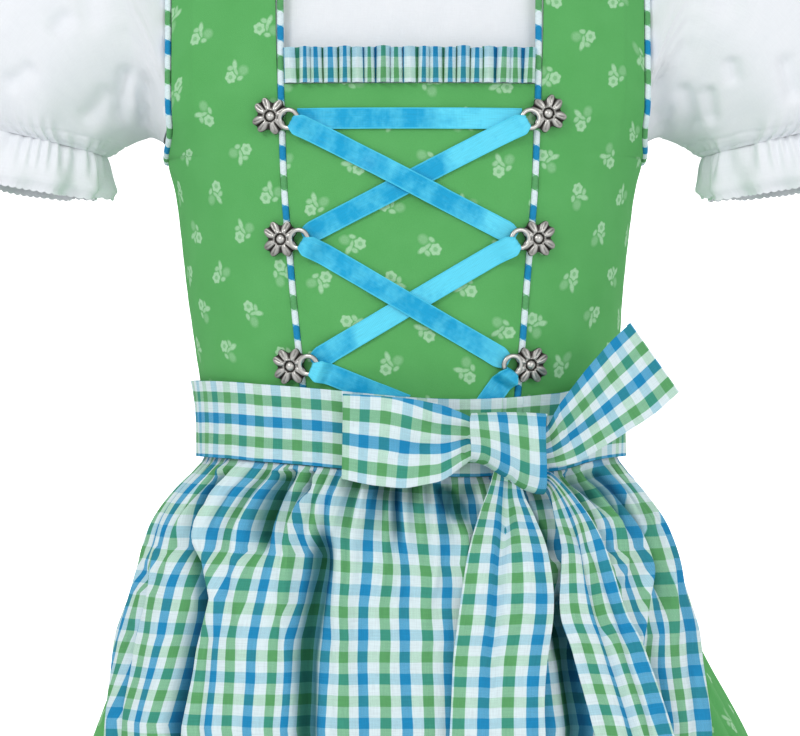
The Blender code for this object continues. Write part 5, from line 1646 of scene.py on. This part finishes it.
def loop(name, solid, table, side, creases, start):
    """A loop of the tie: back layer out to the fold, then front layer back to the knot."""
    bend = 0.035  # share of the way taken by the fold
    steps, rows = rounded(table)

    def surface(u, v):
        if u < 0.5 - bend:
            at, front = u / (0.5 - bend), 0.0
        elif u > 0.5 + bend:
            at, front = (1 - u) / (0.5 - bend), 1.0
        else:
            at, front = 1.0, (u - (0.5 - bend)) / (2 * bend)
        values = [float(np.interp(at, steps, rows[:, k])) for k in range(5)]
        top, low, puff = Vector(values[:2]), Vector(values[2:4]), values[4]
        edge = top.lerp(low, 1 - v)
        out = (top - low).orthogonal().normalized() * -1
        inset = 0.0
        if 0 < front < 1:
            edge = edge + out * side * -1 * 0.5 * puff * math.sin(math.pi * front) * 0.9
            depth = 0.5 * puff * (1 - math.cos(math.pi * front))
        else:
            depth = puff * front
            inset = (1 - front) * 0.10 * math.sin(math.pi * at)
        edge = edge.lerp((top + low) / 2, inset)
        pleat = front * 0.8 * (1 + math.sin(math.pi * v * 5)) * (1 - smooth(at, 0.1, 0.7))
        base = mix(6.5, 0.0, smooth(at, 0.0, 0.35)) + LOOP_TILT * smooth(-edge.y, 304, 326) * smooth(at, 0.0, 0.3)
        return Vector((edge.x, -(bow_depth(edge.x) + 1.2 + base + depth + pleat), edge.y))

    turn = (lambda u, v: surface(1 - u, v)) if side > 0 else surface
    points = net(turn, 130, 36)
    share = np.linspace(0, 1, 131)[None, :]
    share = 1 - share if side > 0 else share
    front = smooth(share, 0.5, 0.56)
    along = way_along(points, 1)
    along = along.mean(axis=0, keepdims=True)
    points = creased(points, points[..., ::2], creases, only=front)
    top = mix(LOOP_TOP[0], LOOP_TOP[1], smooth(np.abs(share - 0.5) * 2, 0.3, 0.75) if side < 0 else 1.0)
    down = mix(LOOP_LOW, top, np.linspace(0, 1, 37)[:, None])
    lay = lay_of(down, along + start)
    sew(name, points, lay, CHECK, [solid], "folded")


def skirt_front(x, z, out):
    """Distance in front of the middle of the skirt's form, at x and z."""
    z0 = z + dip(x) * (1 - smooth(-z - dip(x), 320, 400))
    wide, deep = read(SKIRT, "wide", z0) + out, read(SKIRT, "deep", z0) + out
    return deep * (1 - (abs(x) / wide) ** SQUARENESS) ** (1 / SQUARENESS)


def tail(name, solid, table, folds, creases, start, cut):
    """A hanging end of the tie; folds are the heights of its one wide and its three narrow waves across."""
    top = bow_depth(KNOT["x"]) + KNOT["back"] + KNOT["deep"] / 2 + 0.5

    def surface(u, v):
        row = table[round((1 - v) * (len(table) - 1))]
        place = Vector(row["a"]).lerp(Vector(row["b"]), u)
        wave = folds[0] * math.sin(math.pi * u) + folds[1] * math.sin(3 * math.pi * u)
        near = skirt_front(place.x, place.y, TAIL_CLEAR) + row["lift"] + 1.0
        loose = smooth(-place.y, 318, 350)
        return Vector((place.x, -(mix(top, max(near, top), loose) + wave * loose), place.y))

    points = finer(net(surface, 6, len(table) - 1), 7, 13)
    points = creased(points, points[..., ::2], creases)
    across = np.linspace(0, TAIL_CLOTH, points.shape[1])[None, :]
    laid = np.interp(across / TAIL_CLOTH, *zip(*cut))
    along = way_along(points, 0)[:, points.shape[1] // 2][:, None]
    lay = lay_of(laid, along + start)
    edges = np.minimum(across, TAIL_CLOTH - across) + 0 * along
    hems = hem_line(edges, 0.0, 2.6, 0.15) + hem_line(along, 0.0, 6.0, 0.3)
    points += face_out(points) * hems[..., None]
    sew(name, points, lay, CHECK, [solid], "hung")


def knot():
    """The turn of the tie that wraps the bow's middle: a short tube, open to the left and the right."""
    back = bow_depth(KNOT["x"]) + KNOT["back"]

    def surface(u, v):
        x = KNOT["x"] + KNOT["wide"] * (v - 0.5)
        turn = 2 * math.pi * u
        bulge = 1 - 0.1 * (2 * v - 1) ** 2
        low = mix(*KNOT_LOW, smooth(v, 0.0, 1.0))
        high = (KNOT_TOP - low) / 2 * mix(1.0, bulge, 0.4)
        deep = KNOT["deep"] / 2 * bulge
        across = math.copysign(abs(math.cos(turn)) ** 0.85, math.cos(turn))
        along = math.copysign(abs(math.sin(turn)) ** 0.85, math.sin(turn))
        sway = 2.2 * max(0.0, math.sin(turn)) * across - 1.2 * math.cos(turn)
        y, z = back + KNOT["deep"] / 2 + deep * along, (KNOT_TOP + low) / 2 + high * across
        return Vector((x + sway * -0.6, -y, z))

    points = net(surface, 120, 40)
    points = creased(points, points[..., ::2], KNOT_CREASES, True, only=smooth(-points[..., 1], 88, 94))
    around = way_along(points, 1)[20][None, :]
    wide = np.linspace(0, KNOT["wide"] + 3.0, 41)[:, None]
    bowed = KNOT_BOWED * np.sin(np.linspace(0, 2 * math.pi, 121)).clip(0)[None, :]
    lay = lay_of(wide + KNOT_START - bowed, around)
    sew("bow_wrap", points, lay, CHECK, ["bow_knot"], "folded", ring=True)


def bow():
    loop("bow_loop_a", "bow_loop_right", LOOP_RIGHT, -1, LOOP_A_CREASES, LOOP_A_START)
    loop("bow_loop_b", "bow_loop_left", LOOP_LEFT, 1, LOOP_B_CREASES, LOOP_B_START)
    knot()
    tail("bow_end_front", "bow_tail_front", TAIL_FRONT, (1.5, 1.0), TAIL_FRONT_CREASES, 3.0, TAIL_FRONT_CUT)
    tail("bow_end_side", "bow_tail_side", TAIL_SIDE, (1.5, -1.0), TAIL_SIDE_CREASES, 9.0, TAIL_SIDE_CUT)


# ---- blouse ----


def blouse_body():
    for back, low, name in ((False, BLOUSE_NECK_FRONT, "front"), (True, BLOUSE_NECK_BACK, "back")):
        rows = panel_rows(BLOUSE_HEM, BLOUSE_LOW, low)
        neck = round_neck(BLOUSE_NECK_HALF, low, 0.0)
        half = finer(panel(rows, 6, BLOUSE_OUT, neck, BLOUSE_EDGE, back, 1), 8, 6)
        other = half[:, ::-1] * (-1, 1, 1)
        points = np.concatenate((half, other[:, 1:]) if back else (other, half[:, 1:]), 1)
        across = way_along(points, 1)
        middle = points.shape[1] // 2
        up = way_along(points, 0)[:, [middle + points.shape[1] // 8]]
        lay = lay_of(across - across[:, [middle]], up)
        table = BLOUSE_BACK_CREASES if back else BLOUSE_FRONT_CREASES
        points = creased(points, points[..., ::2], table)
        sew(f"blouse_body_{name}", points, lay, COTTON, [f"blouse_{name}"], "stretched")


def sleeve_point(a, v, out_share, side):
    """A point of the puffed sleeve: v is 0 at the armhole and 1 at the elastic."""
    top, under = bezier(SLEEVE_TOP, v), bezier(SLEEVE_UNDER, v)
    deep = bezier([(d, 0) for d in SLEEVE_DEEP], v).x
    turn = math.radians(a)
    centre = (top + under) / 2
    rim = (top - under) / 2
    reach = 1 + out_share
    place = centre + rim * math.cos(turn) * reach
    oval = Vector((place.x * side, -deep * math.sin(turn) * reach, place.y))
    seam = armhole(a % 360, BLOUSE_EDGE - SLEEVE_LAP, BLOUSE_LOW - SLEEVE_LAP, BLOUSE_OUT + 0.7, side)
    return seam.lerp(oval, smooth(v, 0.0, 0.15))


def small_gathers(a, count, seed):
    """Uneven gathers round a sleeve, from 0 between them to 1 on their crests."""
    drift = 0.45 * math.sin(math.radians(3 * a + 40 * seed)) + 0.3 * math.sin(math.radians(7 * a + seed))
    place = a / 360 * count + drift
    return 0.5 - 0.5 * math.cos(2 * math.pi * place)


def sleeves():
    for side, name in SIDES:

        def puff(u, v, side=side):
            a = 360 * (1 - u if side > 0 else u)
            way = 1 - v
            wave = math.cos(math.radians(SLEEVE_GATHERS * a)) * (0.3 + 0.7 * smooth(way, 0.45, 0.9))
            wave *= smooth(way, 0.06, 0.25) * (1 - 0.35 * smooth(way, 0.9, 1.0)) * 0.55
            cap = small_gathers(a, CAP_GATHERS, side) * smooth(way, 0.03, 0.08) * (1 - smooth(way, 0.1, 0.34))
            cap *= 0.35 + 0.65 * smooth(math.cos(math.radians(a)), -0.2, 0.7)
            cuff = small_gathers(a, CUFF_GATHERS, 2 + side) * smooth(way, 0.74, 0.97)
            high = SLEEVE_GATHER_HIGH * wave + CAP_SHARE * cap + CUFF_SHARE * cuff
            return sleeve_point(a, way, high, side)

        points = net(puff, 260, 66)
        front = smooth(-points[..., 1], -12.0, 12.0)
        for part, share in (("front", front), ("back", 1 - front)):
            points = creased(points, points[..., ::2], SLEEVE_CREASES[name][part], True, SLEEVE_CREASING * share)
        up = way_along(points, 0)
        casing = np.exp(-(((up - CASING_LOW) / 0.8) ** 2)) + np.exp(-(((up - CASING_HIGH) / 0.8) ** 2))
        points -= face_out(points, True) * (CASING_DEEP * casing)[..., None]
        lay = lay_of(np.linspace(0, SLEEVE_CLOTH, up.shape[1])[None, :], up[:, 60:61])
        sew(
            f"sleeve_puff_{name}", points, lay, COTTON, [f"sleeve_{name}"], "gathered",
            ring=True,
        )

        def frill(u, v, side=side):
            a = 360 * (1 - u if side > 0 else u)
            way = 1 - v
            edge = sleeve_point(a, 1.0, SLEEVE_GATHER_HIGH * 0.65 * math.cos(math.radians(SLEEVE_GATHERS * a)), side)
            middle = sleeve_point(0, 1.0, 0, side).lerp(sleeve_point(180, 1.0, 0, side), 0.5)
            rim = sleeve_point(0, 1.0, 0, side) - sleeve_point(180, 1.0, 0, side)
            down = Vector((rim.z, 0, -rim.x)).normalized() * (1 if rim.x > 0 else -1)
            flat = (edge - middle).normalized()
            wave = CUFF_WAVE_HIGH * math.cos(math.radians(CUFF_WAVES * a)) * way
            wave += CUFF_GATHER_HIGH * (small_gathers(a, CUFF_GATHERS, 2 + side) - 0.5) * (1 - smooth(way, 0.15, 0.75))
            wave += CUFF_ROLL * math.sin(math.radians(a * 5 + 60 * side)) * way**2
            wave -= CUFF_CURL * smooth(way, 0.7, 1.0) ** 1.5
            reach = CUFF_FRILL * way + PICOT * abs(math.sin(math.radians(a * PICOT_COUNT / 2))) * smooth(way, 0.95, 1.0)
            reach += (CUFF_SWAY * math.sin(math.radians(3 * a + 75)) - 1.0) * way**2
            reach += CUFF_OUTER * smooth(math.cos(math.radians(a)), -0.7, 0.4) * way
            return edge + down * (reach - 0.5) + flat * (CUFF_FLARE * way**0.7 + wave)

        points = net(frill, 640, 14)
        up = way_along(points, 0)
        points += face_out(points, True) * hem_line(up, 0.0, 2.4, 0.35)[..., None]
        lay = lay_of(np.linspace(0, CUFF_CLOTH, up.shape[1])[None, :], up[:, 60:61])
        sew(
            f"sleeve_ruffle_{name}", points, lay, COTTON, [f"sleeve_frill_{name}"], "gathered",
            ring=True,
        )


def neck_binding():
    sit = BLOUSE_OUT - NECK_BINDING_SUNK
    gap = SEAM + NECK_BINDING_R
    edges = []
    for behind, low in ((False, BLOUSE_NECK_FRONT), (True, BLOUSE_NECK_BACK)):
        rows, neck = panel_rows(BLOUSE_HEM, BLOUSE_LOW, low), round_neck(BLOUSE_NECK_HALF, low, 0.0)
        edges.append(neck_line(rows, neck, BLOUSE_OUT, sit, behind, gap))
    front, back = edges
    half = front + [over_shoulder(BLOUSE_NECK_HALF - gap, 90.0, sit)] + back[::-1]
    line = leaned(smooth_line(half + [Vector((-p.x, p.y, p.z)) for p in half[-2:0:-1]], 10, True))
    mesh = meshed("neck_binding", [rolled(line, NECK_BINDING_R, 12, (0, 0, 1), True)])
    finished("neck_binding", mesh, COTTON, ["blouse_neck_binding"])


# ---- studio ----


def paper(name, corners, **light):
    """A sheet of studio paper."""
    mesh = bpy.data.meshes.new(name)
    mesh.from_pydata(corners, [], [(0, 1, 2, 3)])
    mesh.materials.append(backdrop(name, FLOOR_COLOUR, **light))
    obj = bpy.data.objects.new(name, mesh)
    collection.objects.link(obj)
    return obj


def studio():
    bpy.context.scene.view_settings.view_transform = "Standard"
    world = bpy.data.worlds.new("studio")
    bpy.context.scene.world = world
    world.use_nodes = True
    world.node_tree.nodes["Background"].inputs["Color"].default_value = WORLD_COLOUR
    world.node_tree.nodes["Background"].inputs["Strength"].default_value = WORLD_LIGHT
    for name, place, size, power in LAMPS:
        data = bpy.data.lights.new(name, "AREA")
        data.shape, data.size, data.size_y, data.energy = "RECTANGLE", *size, power
        lamp = bpy.data.objects.new(name, data)
        collection.objects.link(lamp)
        lamp.location = place
        lamp.rotation_euler = (Vector(LAMP_AIM) - Vector(place)).to_track_quat("-Z", "Y").to_euler()
    x, y, z = FLOOR_HALF, BACKDROP_Y, FLOOR_Z
    floor = paper("floor", [(-x, FLOOR_NEAR, z), (x, FLOOR_NEAR, z), (x, FLOOR_FAR, z), (-x, FLOOR_FAR, z)])
    x, light = BACKDROP_HALF, dict(Emission_Color=(1.0, 1.0, 1.0, 1.0), Emission_Strength=1.0)
    behind = paper("backdrop", [(-x, y, -x), (x, y, -x), (x, y, x), (-x, y, x)], **light)
    data = bpy.data.cameras.new("camera")
    data.lens, data.sensor_width = CAMERA_LENS, 36.0
    camera = bpy.data.objects.new("camera", data)
    collection.objects.link(camera)
    camera.location = CAMERA_PLACE
    camera.rotation_euler = (math.radians(90), 0, 0)
    bpy.context.scene.camera = camera


bodice()
neck_frill()
piping()
hooks()
lacing()
skirt()
apron()
band_and_ties()
bow()
blouse_body()
sleeves()
neck_binding()
studio()
